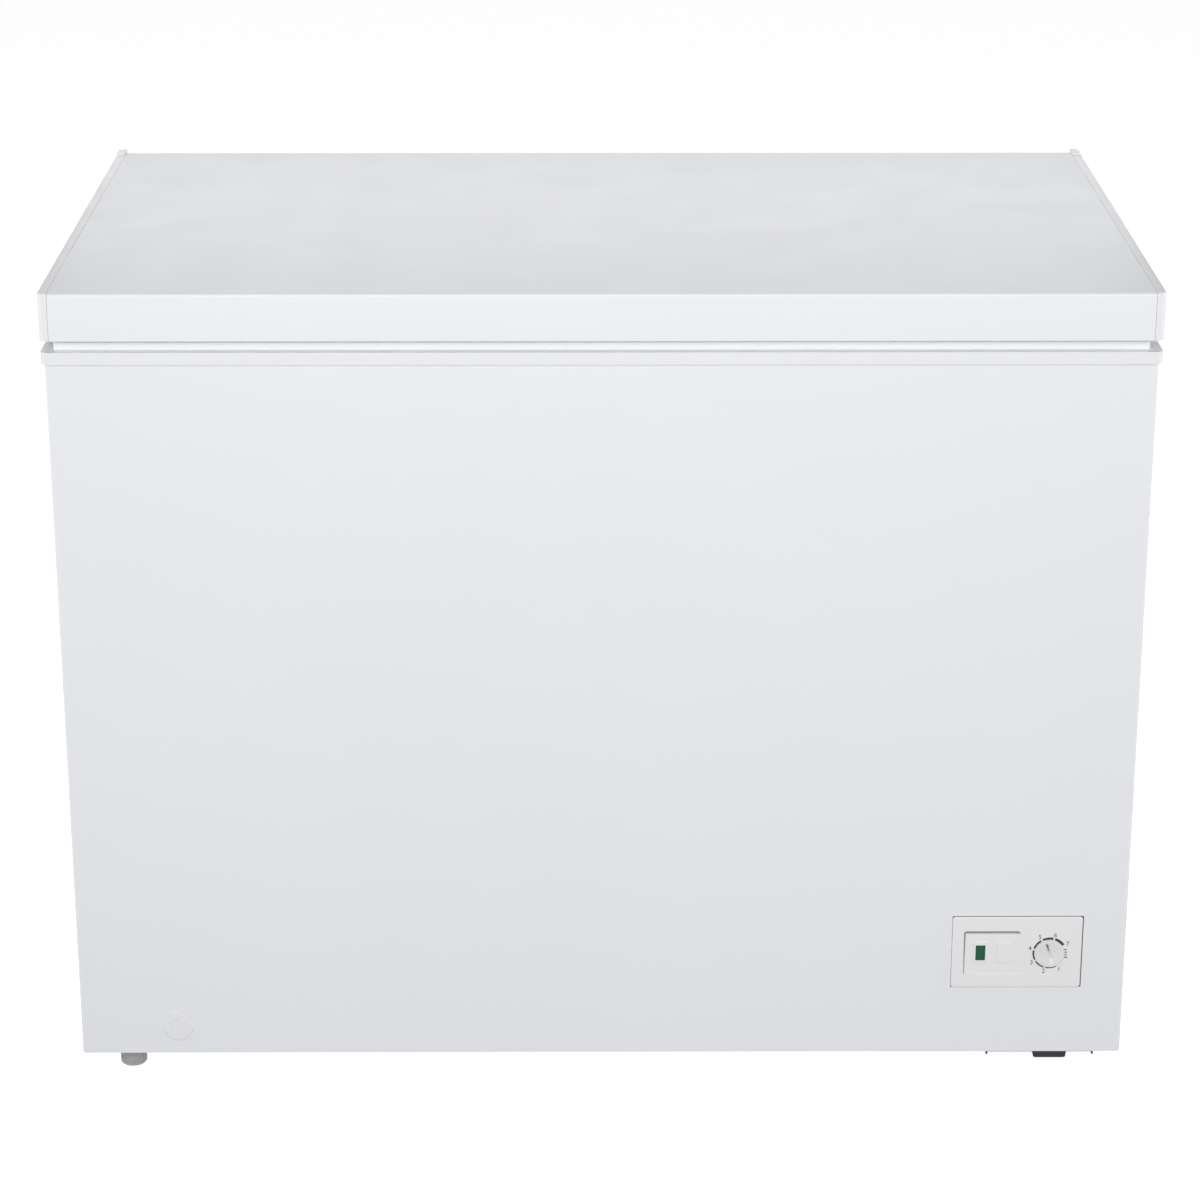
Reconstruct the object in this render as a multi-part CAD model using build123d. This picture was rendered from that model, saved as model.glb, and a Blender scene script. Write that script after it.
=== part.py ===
from build123d import *
import math
import os

# Chest freezer. Millimetres, +Z up, +X to the viewer's right, front towards -Y.
# The origin is on the floor, under the centre of the bounding box.

# Outside sizes
lid_width = 1115.0
lid_depth = 640.0  # folded steel, front skirt to rear skirt
lid_top = 858.0  # flat top of the closed lid above the floor
cap_overhang = 10.0  # how far the plastic end caps reach behind the steel
cap_rise = 2.0  # how far their rear ends stand above the flat top
foot_height = 22.0
lid_skirt = 48.5
gasket_gap = 12.0
collar_band = 12.5
cabinet_inset_side = 3.5
cabinet_inset_front = 4.5
cabinet_inset_rear = 10.0
collar_inset_front = 1.0

# Sheets and walls
steel = 1.0
base_sheet = 1.2
liner_wall = 1.0
plastic = 2.5
wall_side = 60.0
wall_front = 60.0
wall_rear = 60.0
wall_floor = 60.0
cabinet_corner = 4.0
collar_corner = 8.0
lid_corner = 7.0
tub_corner = 26.0
hem = 14.0
clearance = 0.3  # loose parts that sit beside each other
running = 0.05  # radial clearance of a shaft in its hole
over = 1.0  # how far a cutter runs past the face it cuts

# Machine compartment under the step, at the right
compartment_width = 250.0
compartment_height = 276.0
compartment_sheet = 1.2
step_wall = 48.0

# Collar section
collar_top_wall = 3.0
collar_wall = 3.0
ledge_drop = 15.0
ledge_width = 9.0
collar_lip = 15.0

# Control panel, placed from the cabinet's right side and bottom edge
panel_width = 137.0
panel_height = 81.5
panel_from_side = 46.8
panel_above_base = 76.7
panel_proud = 1.8
panel_corner = 3.0
panel_margin = 7.0  # overlap of the plate round its cut-out
panel_box_depth = 16.0
panel_edge = 0.8  # rounding of the plate's front edges
window_width = 62.5
window_height = 50.0
window_offset = (-25.0, -0.55)
window_corner_radius = 2.5
window_chamfer = 5.0
field_depth = 0.4
groove_depth = 3.4
backing_wall = 1.0  # behind the groove
groove_above = 3.0  # the groove round the field is wide at the top
groove_beside = 1.6
lamp_offset = (-38.4, -0.35)
lamp_frame_size = (15.7, 22.5)
lamp_size = (10.2, 17.4)
blank_offset = (-13.2, -0.2)
blank_size = (16.8, 22.5)
button_proud = 0.8
button_reach = 3.5  # behind the steel's face
button_corner = 0.5
button_edge = 0.4
lens_sink = 0.3
lens_corner = 0.4
lens_edge = 0.3
knob_offset = (34.8, -1.15)
knob_diameter = 31.3
knob_disc = 1.6  # thickness of the knob's round part, in front of the plate
knob_edge = 0.5
knob_gap = 0.4
hub_diameter = 26.0
hub_length = 8.0  # from the disc's back, through the plate
slot_width = 2.8
slot_length = 24.0
slot_depth = 3.6  # at its middle; its bottom is an arc
shaft_diameter = 6.0
thermostat_width = 46.0
thermostat_height = 34.0
thermostat_depth = 32.0
thermostat_corner = 3.0
shaft_depth = 12.0  # into the thermostat
shaft_in_knob = 4.0
pointer_angle = -17.0  # the knob is left between 5 and 6, anticlockwise of straight up
sensing_diameter = 2.4
sensing_bend = 10.0
sensing_offset = (15.0, 8.0)  # from the shaft, across and up
sensing_run = 30.0
sensing_from_top = 18.0
sensing_from_wall = 40.0

# Drain
drain_from_side = 102.9
drain_above_base = 32.1
drain_cap_diameter = 33.0
drain_cap_proud = 1.0
drain_cap_edge = 0.6
drain_cap_reach = 15.0
drain_ring = 16.0  # outer diameter of the fine groove in the cap's face
drain_ring_width = 1.0
drain_ring_depth = 0.7
drain_tube_outer = 22.0
drain_tube_wall = 2.0
drain_run = 105.0
drain_bend = 20.0
drain_gap = 0.2
drain_nose = 0.5  # the tube stands this far out of the steel
drain_flange_lap = 5.0
drain_flange_sheet = 3.0
stopper_fit = 0.1
stopper_stem = 8.0
stopper_lap = 6.0
stopper_head = 4.0
stopper_grip = 9.0
stopper_grip_height = 8.0
stopper_edge = 1.2

# Feet
foot_diameter = 28.0
foot_from_side = 51.0
foot_from_front = 24.0
foot_from_rear = 40.0
foot_gap = 0.5
foot_edge = 3.0
foot_flutes = 22
flute_diameter = 2.6
flute_from_floor = 4.0
stud_diameter = 8.0
stud_length = 32.0
stud_grip = 12.0  # moulded into the foot
insert_diameter = 22.0
insert_cap = 4.0
block_foot_width = 38.0
block_foot_length = 40.0
block_foot_taper = 2.0
block_foot_edge = 2.0
block_foot_from_side = 71.3
block_foot_from_front = 24.0
block_foot_from_rear = 40.0

# Compressor and its rail
rail_from_side = 28.0
rail_width = 115.0
rail_sheet = 2.0
rail_flange = 5.0
rail_setback = 3.0
compressor_from_front = 425.0
compressor_radius_x = 72.0
compressor_radius_y = 88.0
compressor_height = 165.0
compressor_round = 26.0
compressor_base_round = 13.0
compressor_plate = 3.0
plate_margin = 12.0
seam_height = 91.0
seam_proud = 3.0
seam_thickness = 4.0
mount_edge = 9.5  # from the rail's side to a mounting bolt
mount_pitch_y = 205.0
grommet_diameter = 24.0
grommet_height = 15.0
grommet_core = 20.0
grommet_groove = 3.0
grommet_groove_height = 6.0
mount_bolt = 8.0
washer_diameter = 16.0
washer_thickness = 1.6
nut_radius = 6.6  # to its corners
nut_height = 5.0
relay_size = (34.0, 56.0, 48.0)
relay_sink = 12.0
relay_forward = 34.0
relay_up = 74.0
relay_corner = 5.0
port_sink = 7.0
port_up = 60.0
suction_diameter = 8.0
suction_back = 40.0
discharge_diameter = 6.0
discharge_aside = 20.0
discharge_bend = 14.0
capillary_diameter = 3.0
capillary_bend = 9.0
capillary_run = 90.0
capillary_from_top = 20.0
drier_diameter = 19.0
drier_length = 96.0
drier_taper = 5.5
drier_from_wall = 12.0
drier_forward = 60.0
drier_up = 150.0
spigot_diameter = 6.0
spigot_length = 10.0
harness_diameter = 6.0
harness_bend = 16.0
harness_run = 60.0
harness_aside = 8.0

# Refrigerant tubes in the foam
coil_tube = 8.0
coil_gap = 0.2
coil_groove = 9.0
groove_gap = 0.5
coil_margin = 40.0  # from the step, ledge or band to the nearest turn
coil_bend = 25.0
tube_stub = 8.0  # how far the coils reach down into the compartment
evaporator_turns = 5
evaporator_pitch = 14.0
evaporator_start = 45.0  # from the compartment's left wall
evaporator_drop = 55.0
condenser_levels = 6
condenser_from_rear = 70.0
condenser_tail = 30.0

# Hinges
hinge_from_side = 178.0
leaf_width = 64.0
leaf_height = 78.0
leaf_sheet = 2.5
leaf_corner = 4.0
leaf_below_collar = 2.0
leaf_above_skirt = 3.0
leaf_below_top = 5.0
pin_diameter = 6.0
knuckle_diameter = 12.0
knuckle_width = 14.0
knuckle_gap = 1.0
pin_head = 1.8
pin_head_diameter = 9.0
pin_head_gap = 0.7
pin_standoff = 8.5
pin_above_collar = 3.0
spring_wire = 1.8
spring_turns = 6
spring_gap = 0.6  # between the coil and the pin
spring_end_gap = 0.5
spring_rest = 0.1
spring_bend = 2.2
spring_leg = 24.0
screw_diameter = 4.0
screw_head = 8.0
screw_head_height = 2.2
screw_recess = 1.0
screw_length = 14.0
screw_inset = 10.0  # from a leaf's edges
pilot_spare = 2.0

# Basket
basket_length = 250.0
basket_depth = 205.0
basket_wire = 4.0
basket_corner = 24.0
basket_side_gap = 6.0
hook_gap = 2.0
hook_width = 50.0
hook_from_end = 60.0
basket_rim_below_ledge = 6.0
basket_end_gap = 14.0

# Lid
cap_width = 9.5
cap_edge = 1.5
cap_bump = 14.0  # how far the raised rear end reaches over the steel
lid_hem = 9.0
lid_bend = 3.0
plug_depth = 18.0
plug_gap = 15.0
gasket_inset_side = 12.0
gasket_inset_front = 10.0
gasket_width = 14.0
gasket_bellows = 5.5
gasket_waist = 1.5
gasket_corner = 5.0
gasket_inner_corner = 4.0

# Vents and rear cover
vent_width = 150.0
vent_height = 90.0
vent_from_rear = 120.0
vent_above_base = 70.0
vent_bars = 8
vent_bar = 3.0
vent_frame = 4.0
vent_proud = 1.8
vent_corner = 4.0
vent_box_depth = 8.0
vent_margin = 6.0
cover_margin = 14.0
cover_lap = 8.0
cover_louvres = 9
louvre_slot = 6.0
louvre_inset = 34.0
louvre_low = 50.0
louvre_high = 40.0
cover_screw_length = 8.0
gland_diameter = 18.0
gland_inside = 4.0
gland_flange = 2.5
gland_flange_lap = 3.0
gland_from_side = 34.0
gland_above_base = 32.0
cord_bore = 8.0

# Levels
base_z = foot_height
lid_bottom = lid_top - lid_skirt
collar_top = lid_bottom - gasket_gap
collar_bottom = collar_top - collar_band
ledge_top = collar_top - ledge_drop
ledge_bottom = ledge_top - collar_wall
collar_under = collar_top - collar_top_wall
foam_bottom = base_z + steel + base_sheet
lower_leaf = (
    collar_bottom - leaf_below_collar - leaf_height,
    collar_bottom - leaf_below_collar,
)
upper_leaf = (lid_bottom + leaf_above_skirt, lid_top - leaf_below_top)
tub_floor = foam_bottom + wall_floor
compartment_top = base_z + compartment_height
step_top = compartment_top + step_wall

# Plan positions
knob_reach = panel_proud + knob_gap + knob_disc - cabinet_inset_front  # knob past the lid
front_reach = max(0.0, knob_reach)
lid_front = (front_reach - lid_depth - cap_overhang) / 2
lid_rear = lid_front + lid_depth
cap_rear = lid_rear + cap_overhang
lid_half = lid_width / 2
skin_half = lid_half - cap_width - clearance
cab_half = lid_half - cabinet_inset_side
cab_front = lid_front + cabinet_inset_front
cab_rear = lid_rear - cabinet_inset_rear
collar_front = lid_front + collar_inset_front
foam_half = cab_half - steel
foam_front = cab_front + steel
foam_rear = cab_rear - steel
tub_x = foam_half - wall_side
tub_y0 = foam_front + wall_front
tub_y1 = foam_rear - wall_rear
compartment_x = cab_half - compartment_width
step_x = compartment_x - step_wall
ledge_x = tub_x + ledge_width
ledge_y0 = tub_y0 - ledge_width
ledge_y1 = tub_y1 + ledge_width
opening_x = tub_x - liner_wall - plastic
opening_y0 = tub_y0 + liner_wall + plastic
opening_y1 = tub_y1 - liner_wall - plastic

# Tubes in the foam
coil_offset = coil_tube / 2 + coil_gap
groove_half = coil_tube / 2 + groove_gap
cold_x = compartment_x + evaporator_start
cold_y = tub_y1 + coil_offset
warm_x = foam_half - coil_offset
warm_y = foam_rear - condenser_from_rear

# Panel places
panel_x = cab_half - panel_from_side - panel_width / 2
panel_z = base_z + panel_above_base + panel_height / 2
window_at = (panel_x + window_offset[0], panel_z + window_offset[1])
lamp_at = (panel_x + lamp_offset[0], panel_z + lamp_offset[1])
blank_at = (panel_x + blank_offset[0], panel_z + blank_offset[1])
knob_at = (panel_x + knob_offset[0], panel_z + knob_offset[1])
panel_face = cab_front - panel_proud
panel_back = cab_front + steel + panel_box_depth
backing_rear = panel_face + groove_depth + backing_wall
thermostat_back = panel_back + thermostat_depth
knob_back = panel_face - knob_gap
knob_front = knob_back - knob_disc
hub_back = knob_back + hub_length

# Drain, feet, compressor and hinge places
drain_x = -cab_half + drain_from_side
drain_z = base_z + drain_above_base
drain_y = cab_front + drain_run
drain_bore = drain_tube_outer - 2 * drain_tube_wall
drain_flange = drain_tube_outer + 2 * drain_flange_lap
foot_x = -cab_half + foot_from_side
foot_y = (cab_front + foot_from_front, cab_rear - foot_from_rear)
stud_top = foot_height - foot_gap - stud_grip + stud_length
insert_top = stud_top + insert_cap
rail_x1 = cab_half - rail_from_side
rail_x0 = rail_x1 - rail_width
rail_y0 = cab_front + rail_setback
rail_y1 = cab_rear - rail_setback
block_foot_x = cab_half - block_foot_from_side
block_foot_y = (
    cab_front + block_foot_from_front + block_foot_length / 2,
    cab_rear - block_foot_from_rear,
)
comp_x = (rail_x0 + rail_x1) / 2
mount_pitch_x = rail_width - 2 * mount_edge
comp_y = cab_front + compressor_from_front
comp_z = base_z + grommet_height + compressor_plate
relay_at = (comp_x - compressor_radius_x + relay_sink, comp_y - relay_forward, comp_z + relay_up)
drier_at = (
    compartment_x + drier_diameter / 2 + drier_from_wall,
    comp_y - drier_forward,
    base_z + drier_up,
)
gland_at = (compartment_x + gland_from_side, base_z + gland_above_base)
hinge_xs = (-cab_half + hinge_from_side, cab_half - hinge_from_side)
pin_y = cab_rear + pin_standoff
pin_z = collar_top + pin_above_collar

# Bores
screw_bore = screw_diameter + 2 * running
mount_bore = mount_bolt + 2 * running
shaft_bore = shaft_diameter + 2 * running
hub_bore = hub_diameter + 2 * clearance
insert_bore = insert_diameter + 2 * running
coil_hole = coil_tube + 2 * clearance
screw_reach = screw_length + pilot_spare


def block(x0, x1, y0, y1, z0, z1):
    """A plain box between two corners."""
    centre = ((x0 + x1) / 2, (y0 + y1) / 2, (z0 + z1) / 2)
    return Pos(*centre) * Box(x1 - x0, y1 - y0, z1 - z0)


def rounded(x0, x1, y0, y1, z0, z1, radius):
    """A box whose four upright edges are rounded."""
    outline = RectangleRounded(x1 - x0, y1 - y0, radius)
    return Pos((x0 + x1) / 2, (y0 + y1) / 2, z0) * extrude(outline, z1 - z0)


def rounded_plate(x, z, width, height, y0, y1, radius):
    """A plate that faces the front, with rounded corners, from y0 back to y1."""
    outline = Plane.XZ.offset(-y1) * Pos(x, z) * RectangleRounded(width, height, radius)
    return extrude(outline, y1 - y0)


def rod(axis, start, length, diameter):
    """A cylinder from a start point along +X, +Y or +Z."""
    turn = {"x": Rot(0, 90, 0), "y": Rot(-90, 0, 0), "z": Rot(0, 0, 0)}[axis]
    solid = Cylinder(diameter / 2, length, align=(Align.CENTER, Align.CENTER, Align.MIN))
    return Pos(*start) * turn * solid


def tube_along(points, bend, diameter):
    """A round bar or tube's outside along straight runs and tangent arcs."""
    path = FilletPolyline(*points, radius=bend)
    section = Plane(origin=path @ 0, z_dir=path % 0) * Circle(diameter / 2)
    return sweep(section, path=path)


def tub_shape(grow):
    """The inside of the liner, grown on every side: a full-width box over a step."""
    x = tub_x - liner_wall + grow
    y0 = tub_y0 + liner_wall - grow
    y1 = tub_y1 - liner_wall + grow
    radius = tub_corner - liner_wall + grow
    top = ledge_bottom
    upper = rounded(-x, x, y0, y1, step_top + liner_wall - grow, top, radius)
    lower_x1 = step_x - liner_wall + grow
    lower = rounded(-x, lower_x1, y0, y1, tub_floor + liner_wall - grow, top, radius)
    return upper + lower


def evaporator_points():
    """Centre line of the cold tube: turns round the tub, one rising to the next."""
    reach = tub_x + coil_offset
    front = tub_y0 - coil_offset
    points = [(cold_x, cold_y, compartment_top - tube_stub)]
    for turn, level in enumerate(evaporator_levels()):
        x = cold_x + turn * evaporator_pitch
        points.append((x, cold_y, level))
        points.append((-reach, cold_y, level))
        points.append((-reach, front, level))
        points.append((reach, front, level))
        points.append((reach, cold_y, level))
        points.append((x + evaporator_pitch, cold_y, level))
    end_x = cold_x + evaporator_turns * evaporator_pitch
    points.append((end_x, cold_y, evaporator_levels()[-1] - evaporator_drop))
    return points


def spread(low, high, count):
    """So many levels, evenly spaced from low to high."""
    return [low + (high - low) * i / (count - 1) for i in range(count)]


def evaporator_levels():
    return spread(step_top + coil_margin, ledge_bottom - coil_margin, evaporator_turns)


def condenser_levels_z():
    return spread(compartment_top + coil_margin, collar_bottom - coil_margin, condenser_levels)


def condenser_points():
    """Centre line of the warm tube: up and down the inside of the steel wrap."""
    front = foam_front + coil_offset
    points = [(warm_x, warm_y, compartment_top - tube_stub)]
    side = 1
    for level in condenser_levels_z():
        points.append((side * warm_x, warm_y, level))
        points.append((side * warm_x, front, level))
        points.append((-side * warm_x, front, level))
        points.append((-side * warm_x, warm_y, level))
        side = -side
    return points[:-1] + [(side * warm_x, warm_y + condenser_tail, condenser_levels_z()[-1])]


def screw_holes():
    """Bores for the screws that hold the lower hinge leaves."""
    seat = cab_rear + leaf_sheet
    holes = [rod("y", (x, seat - screw_reach, z), screw_reach, screw_bore) for x, z in lower_screw_places()]
    return Compound(children=holes)


def leaf_screw_places(low, high):
    """Screw centres near the corners of both hinges' leaves between two levels."""
    places = []
    for hinge_x in hinge_xs:
        for dx in (-leaf_width / 2 + screw_inset, leaf_width / 2 - screw_inset):
            places.append((hinge_x + dx, high - screw_inset))
            places.append((hinge_x + dx, low + screw_inset))
    return places


def lower_screw_places():
    return leaf_screw_places(*lower_leaf)


def upper_screw_places():
    return leaf_screw_places(*upper_leaf)


def drain_cavity(grow):
    """The drain's elbow: along from the front, then up to the tub floor."""
    diameter = drain_tube_outer + 2 * grow
    points = [
        (drain_x, cab_front + steel, drain_z),
        (drain_x, drain_y, drain_z),
        (drain_x, drain_y, tub_floor),
    ]
    return tube_along(points, drain_bend, diameter)


# Cabinet


def evaporator_grooves():
    """Room in the foam for the cold tube: a ring at each turn and one slot for the risers."""
    grow = coil_groove
    corner = coil_bend - coil_offset + coil_groove
    levels = evaporator_levels()
    side = coil_bend + coil_tube
    grooves = block(
        cold_x - side, cold_x + evaporator_turns * evaporator_pitch + side,
        tub_y1 - over, tub_y1 + coil_groove, compartment_top, levels[-1] + groove_half,
    )
    for level in levels:
        grooves += rounded(
            -tub_x - grow, tub_x + grow, tub_y0 - grow, tub_y1 + grow,
            level - groove_half, level + groove_half, corner,
        )
    return grooves


def condenser_grooves():
    """Room in the foam for the warm tube: bands at each level and a slot in each side."""
    levels = condenser_levels_z()
    core = rounded(
        -foam_half + coil_groove, foam_half - coil_groove, foam_front + coil_groove, foam_rear + coil_bend,
        0, lid_top, coil_bend + coil_offset - coil_groove,
    )
    band_end = warm_y + condenser_tail + groove_gap
    grooves = block(
        foam_half - coil_groove - over, foam_half + over, warm_y - coil_bend - groove_half,
        warm_y + groove_half, compartment_top, levels[-1] + groove_half,
    )
    grooves += block(
        -foam_half - over, -foam_half + coil_groove + over, warm_y - coil_bend - groove_half,
        warm_y + groove_half, levels[0] - groove_half, levels[-1] + groove_half,
    )
    for level in levels:
        grooves += block(
            -foam_half - over, foam_half + over, foam_front - over, band_end,
            level - groove_half, level + groove_half,
        )
    return grooves - core


def inside_wrap(shape):
    """A shape trimmed to the rounded inside of the outer cabinet."""
    rear = foam_rear + 2 * cabinet_corner
    return shape & rounded(-foam_half, foam_half, foam_front, rear, 0, lid_top, cabinet_corner - steel)


def outer_cabinet():
    beyond = cab_rear + 2 * cabinet_corner
    outside = rounded(-cab_half, cab_half, cab_front, beyond, base_z, collar_under, cabinet_corner)
    inside = rounded(
        -foam_half, foam_half, foam_front, beyond, base_z + steel, collar_under + over,
        cabinet_corner - steel,
    )
    floor_cut = block(
        -foam_half + hem, foam_half - hem, foam_front + hem, beyond + over, base_z - over,
        base_z + steel + over,
    )
    shape = outside - inside - floor_cut
    shape -= block(-lid_half, lid_half, cab_rear, beyond + over, 0, lid_top)
    band_notch_y = cab_rear - collar_corner - clearance
    shape -= block(-lid_half, lid_half, band_notch_y, cab_rear + over, collar_bottom - clearance, lid_top)
    cut_width = panel_width - 2 * panel_margin
    cut_height = panel_height - 2 * panel_margin
    shape -= rounded_plate(
        panel_x, panel_z, cut_width, cut_height, cab_front - over, cab_front + steel + over, panel_corner
    )
    drain_hole = drain_tube_outer + 2 * clearance
    shape -= rod("y", (drain_x, cab_front - over, drain_z), steel + 2 * over, drain_hole)
    vent_hole = (*vent_y(-vent_margin), *vent_z(-vent_margin))
    return shape - block(cab_half - steel - over, cab_half + over, *vent_hole)


def vent_y(grow):
    y1 = cab_rear - vent_from_rear + grow
    return y1 - vent_width - 2 * grow, y1


def vent_z(grow):
    z0 = base_z + vent_above_base - grow
    return z0, z0 + vent_height + 2 * grow


def back_panel():
    sheet = block(
        -foam_half, foam_half, foam_rear, cab_rear, base_z + steel, collar_bottom - clearance
    )
    sheet -= block(
        compartment_x + cover_margin, foam_half - cover_margin, foam_rear - over, cab_rear + over,
        base_z + cover_margin, compartment_top - cover_margin,
    )
    for x, z in cover_screw_places():
        sheet -= rod("y", (x, foam_rear - over, z), steel + 2 * over, screw_bore)
    return sheet - screw_holes()


def base_panel():
    sheet = block(
        -foam_half, compartment_x - compartment_sheet, foam_front, foam_rear, base_z + steel, foam_bottom
    )
    sheet = inside_wrap(sheet)
    for y in foot_y:
        sheet -= rod("z", (foot_x, y, base_z), steel + base_sheet + over, insert_bore)
    return sheet


def insulation_foam():
    lower = block(-foam_half, foam_half, foam_front, foam_rear, foam_bottom, ledge_bottom)
    upper_rear = cab_rear - collar_corner
    upper = block(-foam_half, foam_half, foam_front, upper_rear, ledge_bottom, collar_under)
    upper -= rounded(
        -ledge_x - collar_wall, ledge_x + collar_wall, ledge_y0 - collar_wall, ledge_y1 + collar_wall,
        ledge_bottom - over, collar_under + over, tub_corner + ledge_width + collar_wall,
    )
    foam = inside_wrap(lower + upper)
    foam -= tub_shape(liner_wall)
    foam -= block(
        compartment_x - compartment_sheet, foam_half + over, foam_front - over, foam_rear + over,
        0, compartment_top + compartment_sheet,
    )
    foam = foam - evaporator_grooves() - condenser_grooves()
    foam -= drain_cavity(drain_gap)
    flange_room = drain_flange + 2 * drain_gap
    foam -= rod(
        "z", (drain_x, drain_y, tub_floor - drain_flange_sheet), drain_flange_sheet + over, flange_room
    )
    for y in foot_y:
        foam -= rod("z", (foot_x, y, 0), insert_top, insert_bore)
    return foam - screw_holes()


def inner_liner():
    shape = tub_shape(liner_wall) - tub_shape(0)
    return shape - rod("z", (drain_x, drain_y, tub_floor - over), liner_wall + 2 * over, drain_bore)


def top_collar():
    band = rounded(-lid_half, lid_half, collar_front, cab_rear, collar_bottom, collar_top, collar_corner)
    hollow = rounded(
        -lid_half + collar_wall, lid_half - collar_wall, collar_front + collar_wall,
        cab_rear - collar_wall, collar_bottom - over, collar_under, collar_corner - collar_wall,
    )
    shape = band - hollow
    corner = tub_corner + ledge_width
    outer_wall = rounded(
        -ledge_x - collar_wall, ledge_x + collar_wall, ledge_y0 - collar_wall, ledge_y1 + collar_wall,
        ledge_bottom, collar_top, corner + collar_wall,
    )
    opening = rounded(-ledge_x, ledge_x, ledge_y0, ledge_y1, ledge_top, collar_top + over, corner)
    throat = rounded(
        -opening_x, opening_x, opening_y0, opening_y1, 0, collar_top, tub_corner - liner_wall - plastic
    )
    lip = tub_shape(0) & block(-lid_half, lid_half, lid_front, lid_rear, ledge_top - collar_lip, lid_top)
    return shape + outer_wall + lip - opening - throat


def compartment_liner():
    outside = block(
        compartment_x - compartment_sheet, foam_half, foam_front, foam_rear,
        base_z + steel, compartment_top + compartment_sheet,
    )
    inside = block(
        compartment_x, foam_half + over, foam_front - over, foam_rear + over, 0, compartment_top
    )
    shape = inside_wrap(outside - inside)
    for x, y in ((cold_x, cold_y), (warm_x, warm_y)):
        shape -= rod("z", (x, y, compartment_top - over), compartment_sheet + 2 * over, coil_hole)
    return shape


# Machine compartment


def compressor_rail():
    """A shallow channel across the base, flanges down, that carries the compressor."""
    outside = block(rail_x0, rail_x1, rail_y0, rail_y1, base_z - rail_flange, base_z)
    inside = block(
        rail_x0 + rail_sheet, rail_x1 - rail_sheet, rail_y0 - over, rail_y1 + over,
        0, base_z - rail_sheet,
    )
    shape = outside - inside
    for x, y in mount_places():
        shape -= rod("z", (x, y, base_z - rail_sheet - over), rail_sheet + 2 * over, mount_bore)
    return shape


def mount_places():
    places = []
    for dx in (-mount_pitch_x / 2, mount_pitch_x / 2):
        for dy in (-mount_pitch_y / 2, mount_pitch_y / 2):
            places.append((comp_x + dx, comp_y + dy))
    return places


def shell_outline(grow):
    return Pos(comp_x, comp_y) * Ellipse(compressor_radius_x + grow, compressor_radius_y + grow)


def compressor_body():
    shell = Pos(0, 0, comp_z) * extrude(shell_outline(0), compressor_height)
    shell = fillet(shell.edges().group_by(Axis.Z)[-1], compressor_round)
    shell = fillet(shell.edges().group_by(Axis.Z)[0], compressor_base_round)
    seam = Pos(0, 0, comp_z + seam_height) * extrude(shell_outline(seam_proud), seam_thickness)
    return shell + seam


def compressor():
    half_x = mount_pitch_x / 2 + plate_margin
    half_y = mount_pitch_y / 2 + plate_margin
    plate = block(
        comp_x - half_x, comp_x + half_x, comp_y - half_y, comp_y + half_y,
        comp_z - compressor_plate, comp_z,
    )
    for x, y in mount_places():
        plate -= rod("z", (x, y, comp_z - compressor_plate - over), compressor_plate + 2 * over, mount_bore)
    return compressor_body() + plate


def compressor_grommets():
    solids = []
    for x, y in mount_places():
        groove_place = (x, y, base_z + grommet_groove_height)
        groove = rod("z", groove_place, grommet_groove, grommet_diameter + 2 * over)
        groove -= rod("z", groove_place, grommet_groove, grommet_core)
        body = rod("z", (x, y, base_z), grommet_height, grommet_diameter) - groove
        solids.append(body - rod("z", (x, y, base_z - over), grommet_height + 2 * over, mount_bore))
    return Compound(children=solids)


def compressor_bolts():
    """Bolts up through the rail and the grommets, with a nut below and a head on a washer."""
    solids = []
    bottom = base_z - rail_sheet - nut_height
    for x, y in mount_places():
        shank = rod("z", (x, y, bottom), comp_z - bottom, mount_bolt)
        washer = rod("z", (x, y, comp_z), washer_thickness, washer_diameter)
        head = Pos(x, y, comp_z + washer_thickness) * extrude(RegularPolygon(nut_radius, 6), nut_height)
        nut = Pos(x, y, bottom) * extrude(RegularPolygon(nut_radius, 6), nut_height)
        solids.append(shank + washer + head + nut)
    return Compound(children=solids)


def relay_cover():
    x1, y, z = relay_at
    width, length, height = relay_size
    body = block(x1 - width, x1, y - length / 2, y + length / 2, z - height / 2, z + height / 2)
    body = fillet(body.edges().filter_by(Axis.X), relay_corner)
    return body - compressor_body()


def suction_points():
    x0 = comp_x - compressor_radius_x + port_sink
    y = comp_y + suction_back
    z = comp_z + port_up
    return [
        (x0, y, z),
        (cold_x, y, z),
        (cold_x, cold_y, z),
        (cold_x, cold_y, compartment_top - tube_stub),
    ]


def suction_tube():
    return tube_along(suction_points(), coil_bend, suction_diameter) - compressor_body()


def discharge_tube():
    z = comp_z + port_up
    x = comp_x + discharge_aside
    points = [
        (x, comp_y + compressor_radius_y - port_sink, z),
        (x, warm_y, z),
        (warm_x, warm_y, z),
        (warm_x, warm_y, compartment_top - tube_stub),
    ]
    return tube_along(points, discharge_bend, discharge_diameter) - compressor_body()


def filter_drier():
    x, y, z = drier_at
    half = drier_length / 2
    body = chamfer(rod("z", (x, y, z - half), drier_length, drier_diameter).edges(), drier_taper)
    for start in (z - half - spigot_length, z + half):
        body += rod("z", (x, y, start), spigot_length, spigot_diameter)
    return body


def capillary_tube():
    x, y, z = drier_at
    level = compartment_top - capillary_from_top
    points = [
        (x, y, z + drier_length / 2 + spigot_length),
        (x, y, level),
        (x, y + capillary_run, level),
        (x, y + capillary_run, compartment_top),
    ]
    return tube_along(points, capillary_bend, capillary_diameter)


def evaporator_tube():
    return tube_along(evaporator_points(), coil_bend, coil_tube)


def condenser_tube():
    return tube_along(condenser_points(), coil_bend, coil_tube)


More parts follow.
